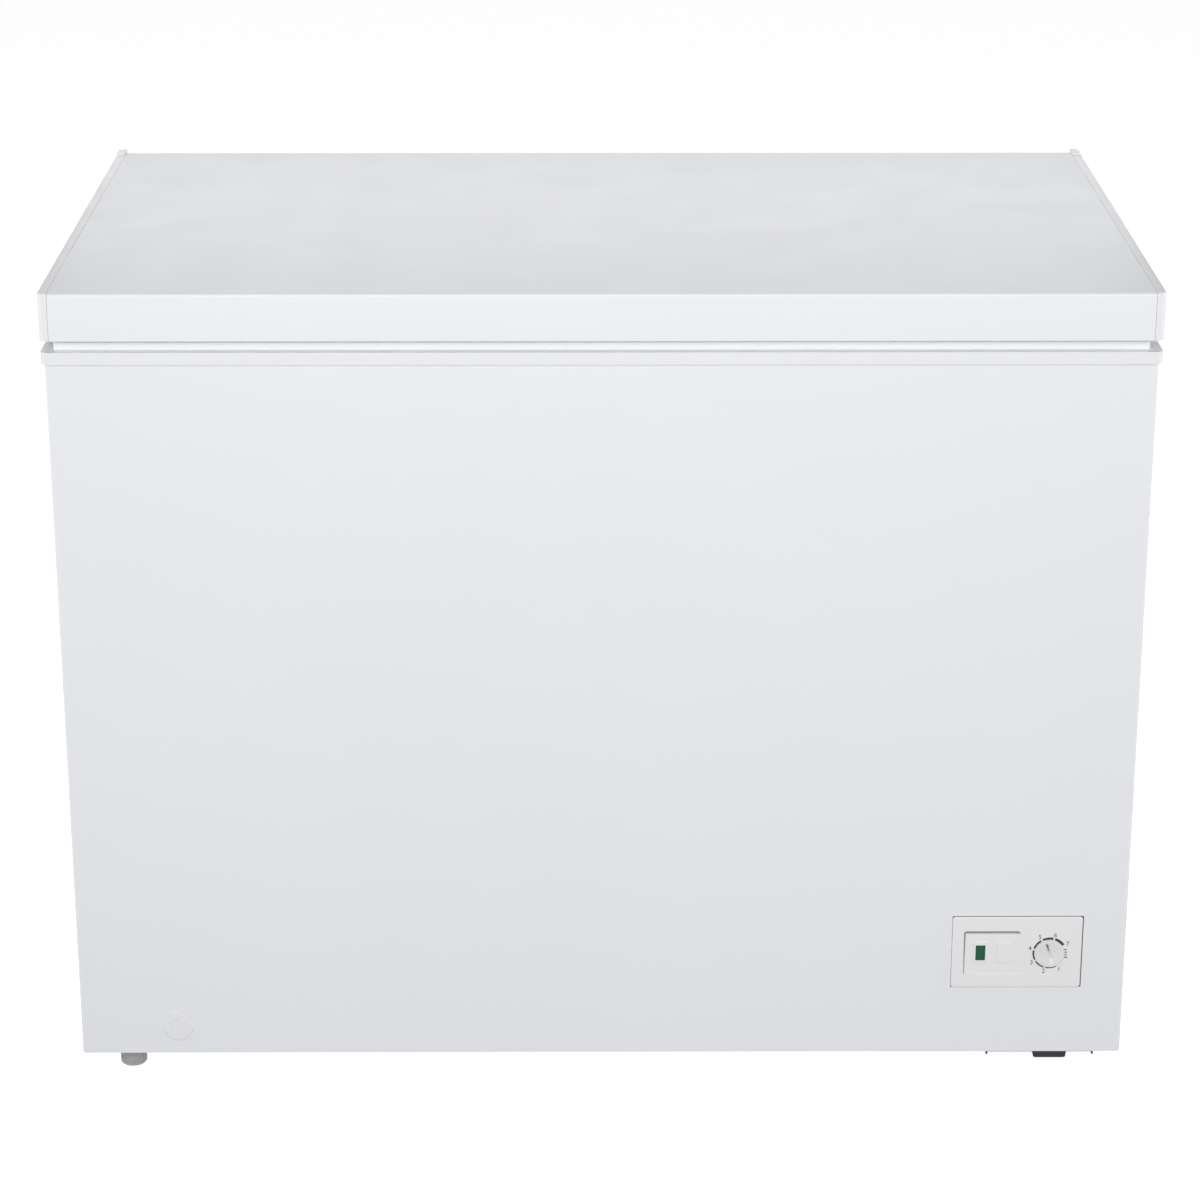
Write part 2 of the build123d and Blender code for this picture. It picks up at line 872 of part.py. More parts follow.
def wiring_harness():
    """From the thermostat back past the compressor's left side to its relay."""
    x = knob_at[0] - harness_aside
    z = knob_at[1]
    relay_x = relay_at[0] - relay_size[0]
    _, relay_y, relay_z = relay_at
    bend_x = relay_x - harness_run / 2
    points = [
        (x, thermostat_back, z),
        (x, thermostat_back + harness_run, z),
        (bend_x, (thermostat_back + relay_y) / 2, (z + relay_z) / 2),
        (bend_x, relay_y, relay_z),
        (relay_x, relay_y, relay_z),
    ]
    return tube_along(points, harness_bend, harness_diameter)


def rear_machine_cover():
    margin = cover_margin - cover_lap
    x0 = compartment_x + margin
    x1 = foam_half - margin
    z0 = base_z + margin
    z1 = compartment_top - margin
    sheet = block(x0, x1, cab_rear, cab_rear + steel, z0, z1)
    cut = (cab_rear - over, cab_rear + steel + over)
    for z in spread(z0 + louvre_low, z1 - louvre_high, cover_louvres):
        slot = (z - louvre_slot / 2, z + louvre_slot / 2)
        sheet -= block(x0 + louvre_inset, x1 - louvre_inset, *cut, *slot)
    for x, z in cover_screw_places():
        sheet -= rod("y", (x, cab_rear - over, z), steel + 2 * over, screw_bore)
    gland_hole = gland_diameter + 2 * running
    return sheet - rod("y", (gland_at[0], cab_rear - over, gland_at[1]), steel + 2 * over, gland_hole)


def cord_gland():
    x, z = gland_at
    length = gland_inside + steel + gland_flange
    body = rod("y", (x, cab_rear - gland_inside, z), length, gland_diameter)
    body += rod("y", (x, cab_rear + steel, z), gland_flange, gland_diameter + 2 * gland_flange_lap)
    return body - rod("y", (x, cab_rear - gland_inside - over, z), length + 2 * over, cord_bore)


def cover_screw_places():
    inset = cover_margin - cover_lap / 2
    xs = (compartment_x + inset, foam_half - inset)
    zs = (base_z + inset, compartment_top - inset)
    return [(x, z) for x in xs for z in zs]


def screw(x, y_seat, z, length):
    """A pan-head screw driven towards the front from a seat that faces the rear."""
    shank = rod("y", (x, y_seat - length, z), length, screw_diameter)
    head = rod("y", (x, y_seat, z), screw_head_height, screw_head)
    cross = (y_seat + screw_head_height - screw_recess, y_seat + screw_head_height + over)
    long = screw_head / 4
    wide = screw_recess / 2
    head -= block(x - long, x + long, *cross, z - wide, z + wide)
    head -= block(x - wide, x + wide, *cross, z - long, z + long)
    return shank + head


def cover_screws():
    seat = cab_rear + steel
    return Compound(children=[screw(x, seat, z, cover_screw_length) for x, z in cover_screw_places()])


def side_vent_grille():
    plate = block(cab_half, cab_half + vent_proud, *vent_y(0), *vent_z(0))
    plate = fillet(plate.edges().filter_by(Axis.X), vent_corner)
    in_y0, in_y1 = vent_y(-vent_margin - clearance)
    in_z0, in_z1 = vent_z(-vent_margin - clearance)
    plate += block(cab_half - vent_box_depth, cab_half, in_y0, in_y1, in_z0, in_z1)
    pitch = (in_z1 - in_z0 - 2 * vent_frame + vent_bar) / vent_bars
    for i in range(vent_bars):
        z = in_z0 + vent_frame + i * pitch
        plate -= block(
            cab_half - vent_box_depth - over, cab_half + vent_proud + over,
            in_y0 + vent_frame, in_y1 - vent_frame, z, z + pitch - vent_bar,
        )
    return plate


# Control panel


def control_bezel():
    plate = rounded_plate(
        panel_x, panel_z, panel_width, panel_height, panel_face, cab_front, panel_corner
    )
    plate = fillet(plate.edges().group_by(Axis.Y)[0], panel_edge)
    width = panel_width - 2 * panel_margin - 2 * clearance
    height = panel_height - 2 * panel_margin - 2 * clearance
    box = rounded_plate(panel_x, panel_z, width, height, cab_front, panel_back, panel_corner)
    hollow = rounded_plate(
        panel_x, panel_z, width - 2 * plastic, height - 2 * plastic, cab_front, panel_back - plastic,
        panel_corner - plastic,
    )
    backing = rounded_plate(
        *window_at, window_width + 2 * plastic, window_height + 2 * plastic, cab_front, backing_rear,
        window_corner_radius,
    )
    shape = plate + (box - hollow) + backing - window_recess()
    for (bx, bz), (bw, bh) in ((lamp_at, lamp_frame_size), (blank_at, blank_size)):
        shape -= rounded_plate(
            bx, bz, bw + 2 * running, bh + 2 * running, panel_face - over, backing_rear + over, button_corner
        )
    x, z = knob_at
    shape -= rod("y", (x, panel_face - over, z), panel_proud + 2 * over, hub_bore)
    return shape - rod("y", (x, hub_back, z), panel_back + over - hub_back, shaft_bore)


def window_recess():
    """The sunk field for the lamp and the cap, with a deeper groove along its top and left."""
    x, z = window_at
    w = window_width / 2
    h = window_height / 2
    front = panel_face - over
    field = rounded_plate(
        x, z, window_width, window_height, front, panel_face + field_depth, window_corner_radius
    )
    groove = rounded_plate(
        x, z, window_width, window_height, front, panel_face + groove_depth, window_corner_radius
    )
    groove -= block(
        x - w + groove_beside, x + w + over, front - over, panel_face + groove_depth + over,
        z - h - over, z + h - groove_above,
    )
    corner = Pos(x + w, panel_face, z + h) * Rot(0, 45, 0)
    side = window_chamfer * math.sqrt(2)
    return field + groove - corner * Box(side, 4 * groove_depth, side)


def indicator_frame():
    (x, z), (w, h) = lamp_at, lamp_frame_size
    frame = rounded_plate(x, z, w, h, panel_face - button_proud, cab_front + button_reach, button_corner)
    w, h = lamp_size[0] + 2 * running, lamp_size[1] + 2 * running
    front = panel_face - button_proud - over
    return frame - rounded_plate(x, z, w, h, front, cab_front + button_reach + over, lens_corner)


def indicator_lens():
    (x, z), (w, h) = lamp_at, lamp_size
    front = panel_face - button_proud + lens_sink
    lens = rounded_plate(x, z, w, h, front, cab_front + button_reach, lens_corner)
    return fillet(lens.edges().group_by(Axis.Y)[0], lens_edge)


def blanking_cap():
    (x, z), (w, h) = blank_at, blank_size
    cap = rounded_plate(x, z, w, h, panel_face - button_proud, cab_front + button_reach, button_corner)
    return fillet(cap.edges().group_by(Axis.Y)[0], button_edge)


def thermostat_body():
    x, z = knob_at
    body = block(
        x - thermostat_width / 2, x + thermostat_width / 2, panel_back, thermostat_back,
        z - thermostat_height / 2, z + thermostat_height / 2,
    )
    body = fillet(body.edges().filter_by(Axis.Y), thermostat_corner)
    return body - rod("y", (x, panel_back - over, z), over + shaft_depth + clearance, shaft_bore)


def thermostat_capillary():
    x = knob_at[0] + sensing_offset[0]
    z = knob_at[1] + sensing_offset[1]
    y = thermostat_back + sensing_run
    wall_x = compartment_x + sensing_from_wall
    level = compartment_top - sensing_from_top
    points = [
        (x, thermostat_back, z),
        (x, y, z),
        (x, y, level),
        (wall_x, y, level),
        (wall_x, y, compartment_top),
    ]
    return tube_along(points, sensing_bend, sensing_diameter)


def thermostat_knob():
    """A nearly flush disc on a hub, with a coin slot across it whose bottom is an arc."""
    x, z = knob_at
    disc = rod("y", (0, knob_front, 0), knob_disc, knob_diameter)
    disc = fillet(disc.edges().group_by(Axis.Y)[0], knob_edge)
    knob = disc + rod("y", (0, knob_back, 0), hub_length, hub_diameter)
    arc_radius = ((slot_length / 2) ** 2 + slot_depth**2) / (2 * slot_depth)
    arc_centre = knob_front + slot_depth - arc_radius
    knob -= rod("x", (-slot_width / 2, arc_centre, 0), slot_width, 2 * arc_radius)
    knob -= rod("y", (0, hub_back - shaft_in_knob, 0), shaft_in_knob + over, shaft_diameter)
    return Pos(x, 0, z) * Rot(0, pointer_angle, 0) * knob


def thermostat_shaft():
    x, z = knob_at
    start = hub_back - shaft_in_knob
    return rod("y", (x, start, z), panel_back + shaft_depth - start, shaft_diameter)


# Drain


def drain_tube():
    flange = rod("z", (drain_x, drain_y, tub_floor - drain_flange_sheet), drain_flange_sheet, drain_flange)
    nose = rod("y", (drain_x, cab_front - drain_nose, drain_z), drain_nose + steel + over, drain_tube_outer)
    bore = tube_along(
        [
            (drain_x, cab_front - drain_nose - over, drain_z),
            (drain_x, drain_y, drain_z),
            (drain_x, drain_y, tub_floor + over),
        ],
        drain_bend,
        drain_bore,
    )
    return drain_cavity(0) + flange + nose - bore


def drain_cap():
    seat = cab_front - drain_nose
    front = seat - drain_cap_proud
    disc = rod("y", (drain_x, front, drain_z), drain_cap_proud, drain_cap_diameter)
    disc = fillet(disc.edges().group_by(Axis.Y)[0], drain_cap_edge)
    groove_start = (drain_x, front - over, drain_z)
    groove = rod("y", groove_start, over + drain_ring_depth, drain_ring)
    groove -= rod("y", groove_start, over + drain_ring_depth, drain_ring - 2 * drain_ring_width)
    plug = rod("y", (drain_x, seat, drain_z), drain_cap_reach, drain_bore - 2 * running)
    return disc - groove + plug


def drain_plug():
    """A stopper pushed into the drain from inside the tub, with a small grip."""
    floor = tub_floor + liner_wall
    stem_start = tub_floor - stopper_stem
    stem = rod("z", (drain_x, drain_y, stem_start), floor - stem_start, drain_bore - 2 * stopper_fit)
    head = rod("z", (drain_x, drain_y, floor), stopper_head, drain_bore + 2 * stopper_lap)
    head = fillet(head.edges().group_by(Axis.Z)[-1], stopper_edge)
    grip = rod("z", (drain_x, drain_y, floor + stopper_head), stopper_grip_height, stopper_grip)
    return stem + head + fillet(grip.edges().group_by(Axis.Z)[-1], stopper_edge)


# Feet


def levelling_foot(y):
    height = foot_height - foot_gap
    radius = foot_diameter / 2
    body = rod("z", (foot_x, y, 0), height, foot_diameter)
    body = fillet(body.edges().group_by(Axis.Z)[0], foot_edge)
    for i in range(foot_flutes):
        angle = 2 * math.pi * i / foot_flutes
        place = (foot_x + radius * math.cos(angle), y + radius * math.sin(angle), flute_from_floor)
        body -= rod("z", place, height, flute_diameter)
    return body - rod("z", (foot_x, y, height - stud_grip), stud_grip + over, stud_diameter)


def levelling_stud(y):
    return rod("z", (foot_x, y, stud_top - stud_length), stud_length, stud_diameter)


def foot_inserts():
    solids = []
    bore = stud_diameter + 2 * running
    for y in foot_y:
        body = rod("z", (foot_x, y, base_z + steel), insert_top - base_z - steel, insert_diameter)
        solids.append(body - rod("z", (foot_x, y, 0), stud_top + clearance, bore))
    return Compound(children=solids)


def block_foot(y):
    top = base_z - rail_sheet
    taper = 2 * block_foot_taper
    wide = Pos(0, 0, top) * Rectangle(block_foot_width, block_foot_length)
    narrow = Rectangle(block_foot_width - taper, block_foot_length - taper)
    body = chamfer(loft([narrow, wide]).edges().group_by(Axis.Z)[0], block_foot_edge)
    return Pos(block_foot_x, y, 0) * body


# Basket


def basket():
    """A tray in the outer shape of the wire basket, hung on the ledge by four tabs."""
    x0 = -opening_x + basket_end_gap
    x1 = x0 + basket_length
    y0 = opening_y0 + basket_side_gap
    y1 = opening_y1 - basket_side_gap
    wall = basket_wire
    top = ledge_top - basket_rim_below_ledge
    bottom = top - basket_depth
    shape = rounded(x0, x1, y0, y1, bottom, top, basket_corner)
    shape -= rounded(
        x0 + wall, x1 - wall, y0 + wall, y1 - wall, bottom + wall, top + over, basket_corner - wall
    )
    rest = ledge_top + clearance
    for x in (x0 + hook_from_end, x1 - hook_from_end):
        span = (x - hook_width / 2, x + hook_width / 2)
        for hook, leg in (
            ((ledge_y0 + hook_gap, y0 + wall), (y0, y0 + wall)),
            ((y1 - wall, ledge_y1 - hook_gap), (y1 - wall, y1)),
        ):
            shape += block(*span, *hook, rest, rest + wall)
            shape += block(*span, *leg, top - wall, rest + wall)
    return shape


# Lid


def lid_panel():
    x = skin_half
    outside = block(-x, x, lid_front, lid_rear, lid_bottom, lid_top)
    outside = fillet(outside.edges().filter_by(Axis.X).group_by(Axis.Z)[-1], lid_bend)
    inside = block(
        -x - over, x + over, lid_front + steel, lid_rear - steel, lid_bottom + steel, lid_top - steel
    )
    inside = fillet(inside.edges().filter_by(Axis.X).group_by(Axis.Z)[-1], lid_bend - steel)
    mouth = block(
        -x - over, x + over, lid_front + lid_hem, lid_rear - lid_hem, lid_bottom - over,
        lid_bottom + steel + over,
    )
    shape = outside - inside - mouth
    for sx, sz in upper_screw_places():
        shape -= rod("y", (sx, lid_rear - steel - over, sz), steel + 2 * over, screw_bore)
    return shape


def lid_end_cap(side):
    outside = rounded(
        -lid_half, lid_half, lid_front, cap_rear, lid_bottom, lid_top + cap_rise, lid_corner
    )
    outside -= block(
        -lid_half - over, lid_half + over, lid_front - over, lid_rear - cap_bump,
        lid_top, lid_top + cap_rise + over,
    )
    cap = outside & block(
        lid_half - cap_width, lid_half + over, lid_front - over, cap_rear + over, 0, lid_top + cap_rise + over
    )
    top_edges = cap.edges().filter_by(Axis.Y).filter_by(
        lambda edge: edge.center().Z > lid_top - over and edge.center().X > lid_half - over
    )
    cap = fillet(top_edges, cap_edge)
    cap -= block(
        lid_half - cap_width - over, lid_half - plastic, lid_front + plastic, lid_rear - plastic,
        lid_bottom + plastic, lid_top - plastic,
    )
    return cap if side > 0 else mirror(cap, about=Plane.YZ)


def lid_foam():
    core = block(
        -skin_half, skin_half, lid_front + steel, lid_rear - steel, lid_bottom + plastic, lid_top - steel
    )
    core = fillet(core.edges().filter_by(Axis.X).group_by(Axis.Z)[-1], lid_bend - steel)
    ends = block(
        -lid_half + plastic, lid_half - plastic, lid_front + plastic, lid_rear - plastic,
        lid_bottom + plastic, lid_top - plastic,
    )
    foam = core + ends + plug_shape(plastic)
    for sx, sz in upper_screw_places():
        foam -= rod("y", (sx, lid_rear + leaf_sheet - screw_reach, sz), screw_reach, screw_bore)
    return foam


def plug_shape(inset):
    """The raised part under the lid that drops into the mouth of the tub."""
    return rounded(
        -opening_x + plug_gap + inset, opening_x - plug_gap - inset,
        opening_y0 + plug_gap + inset, opening_y1 - plug_gap - inset,
        lid_bottom - gasket_gap - plug_depth + inset, lid_bottom + plastic, tub_corner - inset,
    )


def lid_inner_liner():
    edge = lid_hem + clearance
    sheet = block(
        -skin_half, skin_half, lid_front + edge, lid_rear - edge, lid_bottom, lid_bottom + plastic
    )
    return sheet + plug_shape(0) - plug_shape(plastic)


def gasket_ring(z0, z1, slim):
    """A flat ring under the lid's edge; slim takes so much off each of its sides."""
    x = lid_half - gasket_inset_side - slim
    y0 = lid_front + gasket_inset_front + slim
    y1 = cab_rear - gasket_inset_side - slim
    wall = gasket_width - 2 * slim
    outside = rounded(-x, x, y0, y1, z0, z1, gasket_corner)
    return outside - rounded(
        -x + wall, x - wall, y0 + wall, y1 - wall, z0 - over, z1 + over, gasket_inner_corner
    )


def lid_gasket():
    magnet = gasket_ring(collar_top, lid_bottom - gasket_bellows, 0)
    return magnet + gasket_ring(lid_bottom - gasket_bellows, lid_bottom, gasket_waist)


# Hinges


def knuckle_spans():
    """X ranges of the knuckles and the spring, from the hinge's middle."""
    half = leaf_width / 2
    inner = half - knuckle_width
    return {
        "lower": [(-half, -inner), (inner, half)],
        "upper": [(-inner + clearance, -2 * knuckle_gap)],
        "spring": [(-knuckle_gap, inner - clearance)],
    }


def knuckle(hinge_x, span):
    a, b = span
    return rod("x", (hinge_x + a, pin_y, pin_z), b - a, knuckle_diameter)


def pin_bore(hinge_x):
    bore = pin_diameter + 2 * running
    return rod("x", (hinge_x - leaf_width, pin_y, pin_z), 2 * leaf_width, bore)


def leaf_plate(hinge_x, y, low, high):
    """A leaf's flat sheet behind a rear face at y, with its screw holes."""
    half = leaf_width / 2
    leaf = block(hinge_x - half, hinge_x + half, y, y + leaf_sheet, low, high)
    leaf = fillet(leaf.edges().filter_by(Axis.Y), leaf_corner)
    for x, z in leaf_screw_places(low, high):
        if abs(x - hinge_x) < leaf_width:
            leaf -= rod("y", (x, y - over, z), leaf_sheet + 2 * over, screw_bore)
    return leaf


def hinge_lower_leaf(hinge_x):
    low, high = lower_leaf
    leaf = leaf_plate(hinge_x, cab_rear, low, high)
    for a, b in knuckle_spans()["lower"]:
        span = (hinge_x + a, hinge_x + b)
        leaf += block(*span, cab_rear, cab_rear + leaf_sheet, high - leaf_corner, pin_z)
        leaf += block(*span, cab_rear, pin_y, pin_z - knuckle_diameter / 2, pin_z)
        leaf += knuckle(hinge_x, (a, b))
    return leaf - pin_bore(hinge_x)


def hinge_upper_leaf(hinge_x):
    low, high = upper_leaf
    leaf = leaf_plate(hinge_x, lid_rear, low, high)
    for a, b in knuckle_spans()["upper"]:
        leaf += block(
            hinge_x + a, hinge_x + b, lid_rear, lid_rear + leaf_sheet, pin_z, low + leaf_corner
        )
        leaf += knuckle(hinge_x, (a, b))
    return leaf - pin_bore(hinge_x)


def hinge_pin(hinge_x):
    head_start = leaf_width / 2 + pin_head_gap
    reach = head_start + pin_head
    pin = rod("x", (hinge_x - reach, pin_y, pin_z), 2 * reach, pin_diameter)
    for start in (-reach, head_start):
        pin += rod("x", (hinge_x + start, pin_y, pin_z), pin_head, pin_head_diameter)
    return pin


def hinge_spring(hinge_x):
    """A torsion spring on the pin; one leg lies against the cabinet's leaf."""
    a, b = knuckle_spans()["spring"][0]
    radius = pin_diameter / 2 + spring_gap + spring_wire / 2
    length = b - a - spring_wire - 2 * spring_end_gap
    start_x = hinge_x + a + spring_wire / 2 + spring_end_gap
    path = Helix(length / spring_turns, length, radius)
    section = Plane(origin=path @ 0, z_dir=path % 0) * Circle(spring_wire / 2)
    coil = Pos(start_x, pin_y, pin_z) * Rot(0, 90, 0) * sweep(section, path=path)
    leg_y = cab_rear + leaf_sheet + spring_wire / 2 + spring_rest
    bottom = pin_z - radius
    leg = tube_along(
        [
            (start_x, pin_y + spring_end_gap, bottom),
            (start_x, leg_y, bottom),
            (start_x, leg_y, bottom - spring_leg),
        ],
        spring_bend,
        spring_wire,
    )
    return coil + leg


def hinge_screws_cabinet():
    seat = cab_rear + leaf_sheet
    return Compound(children=[screw(x, seat, z, screw_length) for x, z in lower_screw_places()])


def hinge_screws_lid():
    seat = lid_rear + leaf_sheet
    return Compound(children=[screw(x, seat, z, screw_length) for x, z in upper_screw_places()])


parts = {
    "outer_cabinet": outer_cabinet,
    "back_panel": back_panel,
    "base_panel": base_panel,
    "insulation_foam": insulation_foam,
    "inner_liner": inner_liner,
    "top_collar": top_collar,
    "compartment_liner": compartment_liner,
    "compressor_rail": compressor_rail,
    "compressor": compressor,
    "compressor_grommets": compressor_grommets,
    "compressor_bolts": compressor_bolts,
    "relay_cover": relay_cover,
    "suction_tube": suction_tube,
    "discharge_tube": discharge_tube,
    "filter_drier": filter_drier,
    "capillary_tube": capillary_tube,
    "evaporator_tube": evaporator_tube,
    "condenser_tube": condenser_tube,
    "wiring_harness": wiring_harness,
    "rear_machine_cover": rear_machine_cover,
    "cover_screws": cover_screws,
    "cord_gland": cord_gland,
    "side_vent_grille": side_vent_grille,
    "control_bezel": control_bezel,
    "indicator_frame": indicator_frame,
    "indicator_lens": indicator_lens,
    "blanking_cap": blanking_cap,
    "thermostat_body": thermostat_body,
    "thermostat_capillary": thermostat_capillary,
    "thermostat_knob": thermostat_knob,
    "thermostat_shaft": thermostat_shaft,
    "drain_tube": drain_tube,
    "drain_cap": drain_cap,
    "drain_plug": drain_plug,
    "levelling_foot_front": lambda: levelling_foot(foot_y[0]),
    "levelling_foot_rear": lambda: levelling_foot(foot_y[1]),
    "levelling_stud_front": lambda: levelling_stud(foot_y[0]),
    "levelling_stud_rear": lambda: levelling_stud(foot_y[1]),
    "foot_inserts": foot_inserts,
    "block_foot_front": lambda: block_foot(block_foot_y[0]),
    "block_foot_rear": lambda: block_foot(block_foot_y[1]),
    "basket": basket,
    "lid_panel": lid_panel,
    "lid_end_cap_left": lambda: lid_end_cap(-1),
    "lid_end_cap_right": lambda: lid_end_cap(1),
    "lid_foam": lid_foam,
    "lid_inner_liner": lid_inner_liner,
    "lid_gasket": lid_gasket,
    "hinge_lower_leaf_left": lambda: hinge_lower_leaf(hinge_xs[0]),
    "hinge_lower_leaf_right": lambda: hinge_lower_leaf(hinge_xs[1]),
    "hinge_upper_leaf_left": lambda: hinge_upper_leaf(hinge_xs[0]),
    "hinge_upper_leaf_right": lambda: hinge_upper_leaf(hinge_xs[1]),
    "hinge_pin_left": lambda: hinge_pin(hinge_xs[0]),
    "hinge_pin_right": lambda: hinge_pin(hinge_xs[1]),
    "hinge_spring_left": lambda: hinge_spring(hinge_xs[0]),
    "hinge_spring_right": lambda: hinge_spring(hinge_xs[1]),
    "hinge_screws_cabinet": hinge_screws_cabinet,
    "hinge_screws_lid": hinge_screws_lid,
}

os.makedirs("parts", exist_ok=True)
for name, make in parts.items():
    export_step(make(), f"parts/{name}.step")
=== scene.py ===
import math

import bmesh
import bpy
import numpy as np
from mathutils import Matrix, Vector


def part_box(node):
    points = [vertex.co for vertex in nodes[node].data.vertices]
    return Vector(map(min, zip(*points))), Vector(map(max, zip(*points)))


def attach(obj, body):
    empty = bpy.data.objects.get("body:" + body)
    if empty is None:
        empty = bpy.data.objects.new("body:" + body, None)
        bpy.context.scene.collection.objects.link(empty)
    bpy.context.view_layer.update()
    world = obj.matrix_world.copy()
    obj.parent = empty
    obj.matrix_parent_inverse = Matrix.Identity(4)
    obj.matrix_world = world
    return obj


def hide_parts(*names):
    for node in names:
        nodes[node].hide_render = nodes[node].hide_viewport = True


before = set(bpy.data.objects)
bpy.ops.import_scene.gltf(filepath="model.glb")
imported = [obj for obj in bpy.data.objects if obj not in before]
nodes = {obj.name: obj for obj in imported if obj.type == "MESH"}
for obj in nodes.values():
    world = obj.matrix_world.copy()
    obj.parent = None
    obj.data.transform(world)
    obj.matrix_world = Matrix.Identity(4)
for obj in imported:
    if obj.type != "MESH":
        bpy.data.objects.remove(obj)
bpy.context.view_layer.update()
scene = bpy.context.scene

# --- Camera -----------------------------------------------------------------------------------
# A long lens a little above the lid, looking down at the front, square to the freezer.
# It stands off from the lid's front top edge, so it follows the frame if that moves.
lid_low, lid_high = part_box("lid_panel")
camera_stand_off = (-0.0192, -3.2913, 0.8663)
camera_pitch = math.radians(90 - 19.836)
camera_yaw = math.radians(0.299)
camera_roll = math.radians(0.03)
camera = bpy.data.objects.new("camera", bpy.data.cameras.new("camera"))
scene.collection.objects.link(camera)
camera.data.lens = 103.23
camera.data.sensor_width = 36.0
camera.location = Vector((0, lid_low.y, lid_high.z)) + Vector(camera_stand_off)
turn = Matrix.Rotation(-camera_yaw, 4, "Z") @ Matrix.Rotation(camera_pitch, 4, "X")
camera.rotation_euler = (turn @ Matrix.Rotation(camera_roll, 4, "Z")).to_euler()
scene.camera = camera


# --- Painted steel: cabinet wrap and lid skin ---------------------------------------------------
# Rolled steel sheet, painted before it is folded. The paint has a fine orange peel, the
# sheet is very slightly wavy between its folds, and the gloss is a soft satin.
def finish_of(name, colour, roughness, **more):
    """A Principled material. Each other named socket is set on the shader itself."""
    made = bpy.data.materials.new(name)
    made.use_nodes = True
    shader = made.node_tree.nodes["Principled BSDF"]
    shader.inputs["Base Color"].default_value = (*colour, 1)
    shader.inputs["Roughness"].default_value = roughness
    for socket, value in more.items():
        shader.inputs[socket.replace("_", " ")].default_value = value
    return made


def add_node(material, kind, **settings):
    """A new node with its own settings; a dict under inputs fills sockets by name."""
    node = material.node_tree.nodes.new(kind)
    sockets = settings.pop("inputs", {})
    for key, value in settings.items():
        setattr(node, key, value)
    for socket, value in sockets.items():
        node.inputs[socket].default_value = value
    return node


def join(material, source, target):
    material.node_tree.links.new(source, target)


def object_place(material, stretch=(1, 1, 1)):
    """Object coordinates, multiplied axis by axis."""
    place = add_node(material, "ShaderNodeTexCoord")
    mapping = add_node(material, "ShaderNodeMapping", inputs={"Scale": stretch})
    join(material, place.outputs["Object"], mapping.inputs["Vector"])
    return mapping.outputs["Vector"]


def noise(material, scale, detail=2.0, stretch=(1, 1, 1), rough=0.5):
    """Smooth noise with features about one over its scale, in metres."""
    texture = add_node(
        material, "ShaderNodeTexNoise", inputs={"Scale": scale, "Detail": detail, "Roughness": rough}
    )
    join(material, object_place(material, stretch), texture.inputs["Vector"])
    return texture.outputs["Fac"]


def ramp(material, source, low, high, start=0.0, end=1.0):
    """Carries source from the range start..end to low..high."""
    node = add_node(
        material, "ShaderNodeMapRange",
        inputs={"From Min": start, "From Max": end, "To Min": low, "To Max": high},
    )
    join(material, source, node.inputs["Value"])
    return node.outputs["Result"]


def shader_input(material, name):
    return material.node_tree.nodes["Principled BSDF"].inputs[name]


def vary_roughness(material, source, low, high, start=0.3, end=0.7):
    join(material, ramp(material, source, low, high, start, end), shader_input(material, "Roughness"))


def vary_colour(material, source, first, second, start=0.3, end=0.7):
    """Base colour that runs from first to second as source rises."""
    scale = add_node(material, "ShaderNodeValToRGB")
    scale.color_ramp.elements[0].position = start
    scale.color_ramp.elements[0].color = (*first, 1)
    scale.color_ramp.elements[1].position = end
    scale.color_ramp.elements[1].color = (*second, 1)
    join(material, source, scale.inputs["Fac"])
    join(material, scale.outputs["Color"], shader_input(material, "Base Color"))


def raise_surface(material, source, height, strength=1.0):
    """Adds a bump of so many metres between the lows and the highs of source."""
    bump = add_node(material, "ShaderNodeBump", inputs={"Distance": height, "Strength": strength})
    join(material, source, bump.inputs["Height"])
    normal = shader_input(material, "Normal")
    if normal.is_linked:
        join(material, normal.links[0].from_socket, bump.inputs["Normal"])
    join(material, bump.outputs["Normal"], normal)


def dress(material, *names, crease=35):
    """Gives CAD nodes a material, joins their loose triangles and smooths all but the creases."""
    for name in names:
        node = nodes[name]
        node.data.materials.clear()
        node.data.materials.append(material)
        node.data.polygons.foreach_set("material_index", np.zeros(len(node.data.polygons), np.int32))
        node.data.polygons.foreach_set("use_smooth", np.ones(len(node.data.polygons), bool))
        weld = node.modifiers.new("weld", "WELD")
        weld.merge_threshold = 1e-5
        split = node.modifiers.new("creases", "EDGE_SPLIT")
        split.split_angle = math.radians(crease)


enamel = finish_of("enamelled_steel", (0.80, 0.80, 0.81), 0.36, Coat_Weight=0.15, Coat_Roughness=0.2)
vary_colour(enamel, noise(enamel, 2.2, 3.0), (0.778, 0.786, 0.815), (0.790, 0.798, 0.826))
vary_roughness(enamel, noise(enamel, 14.0, 4.0), 0.33, 0.40)
raise_surface(enamel, noise(enamel, 2.6, 1.0), 0.0006, 0.5)
raise_surface(enamel, noise(enamel, 420.0, 2.0), 0.00004, 0.5)
dress(enamel, "outer_cabinet", "lid_panel")

# --- Galvanised sheet: back, base, compartment lining and machine cover -------------------------
# Bare zinc-coated steel, folded and screwed together. Its zinc shows a faint spangle of crystals
# and a brushed grey gloss.
galvanised = finish_of("galvanised_sheet", (0.55, 0.56, 0.57), 0.42, Metallic=1.0)
spangle = add_node(galvanised, "ShaderNodeTexVoronoi", inputs={"Scale": 90.0})
join(galvanised, object_place(galvanised), spangle.inputs["Vector"])
spangle_grey = add_node(galvanised, "ShaderNodeRGBToBW")
join(galvanised, spangle.outputs["Color"], spangle_grey.inputs["Color"])
vary_colour(galvanised, spangle_grey.outputs["Val"], (0.50, 0.51, 0.52), (0.60, 0.61, 0.62), 0.1, 0.9)
vary_roughness(galvanised, spangle_grey.outputs["Val"], 0.38, 0.50, 0.1, 0.9)
dress(galvanised, "back_panel", "base_panel", "compartment_liner", "rear_machine_cover")

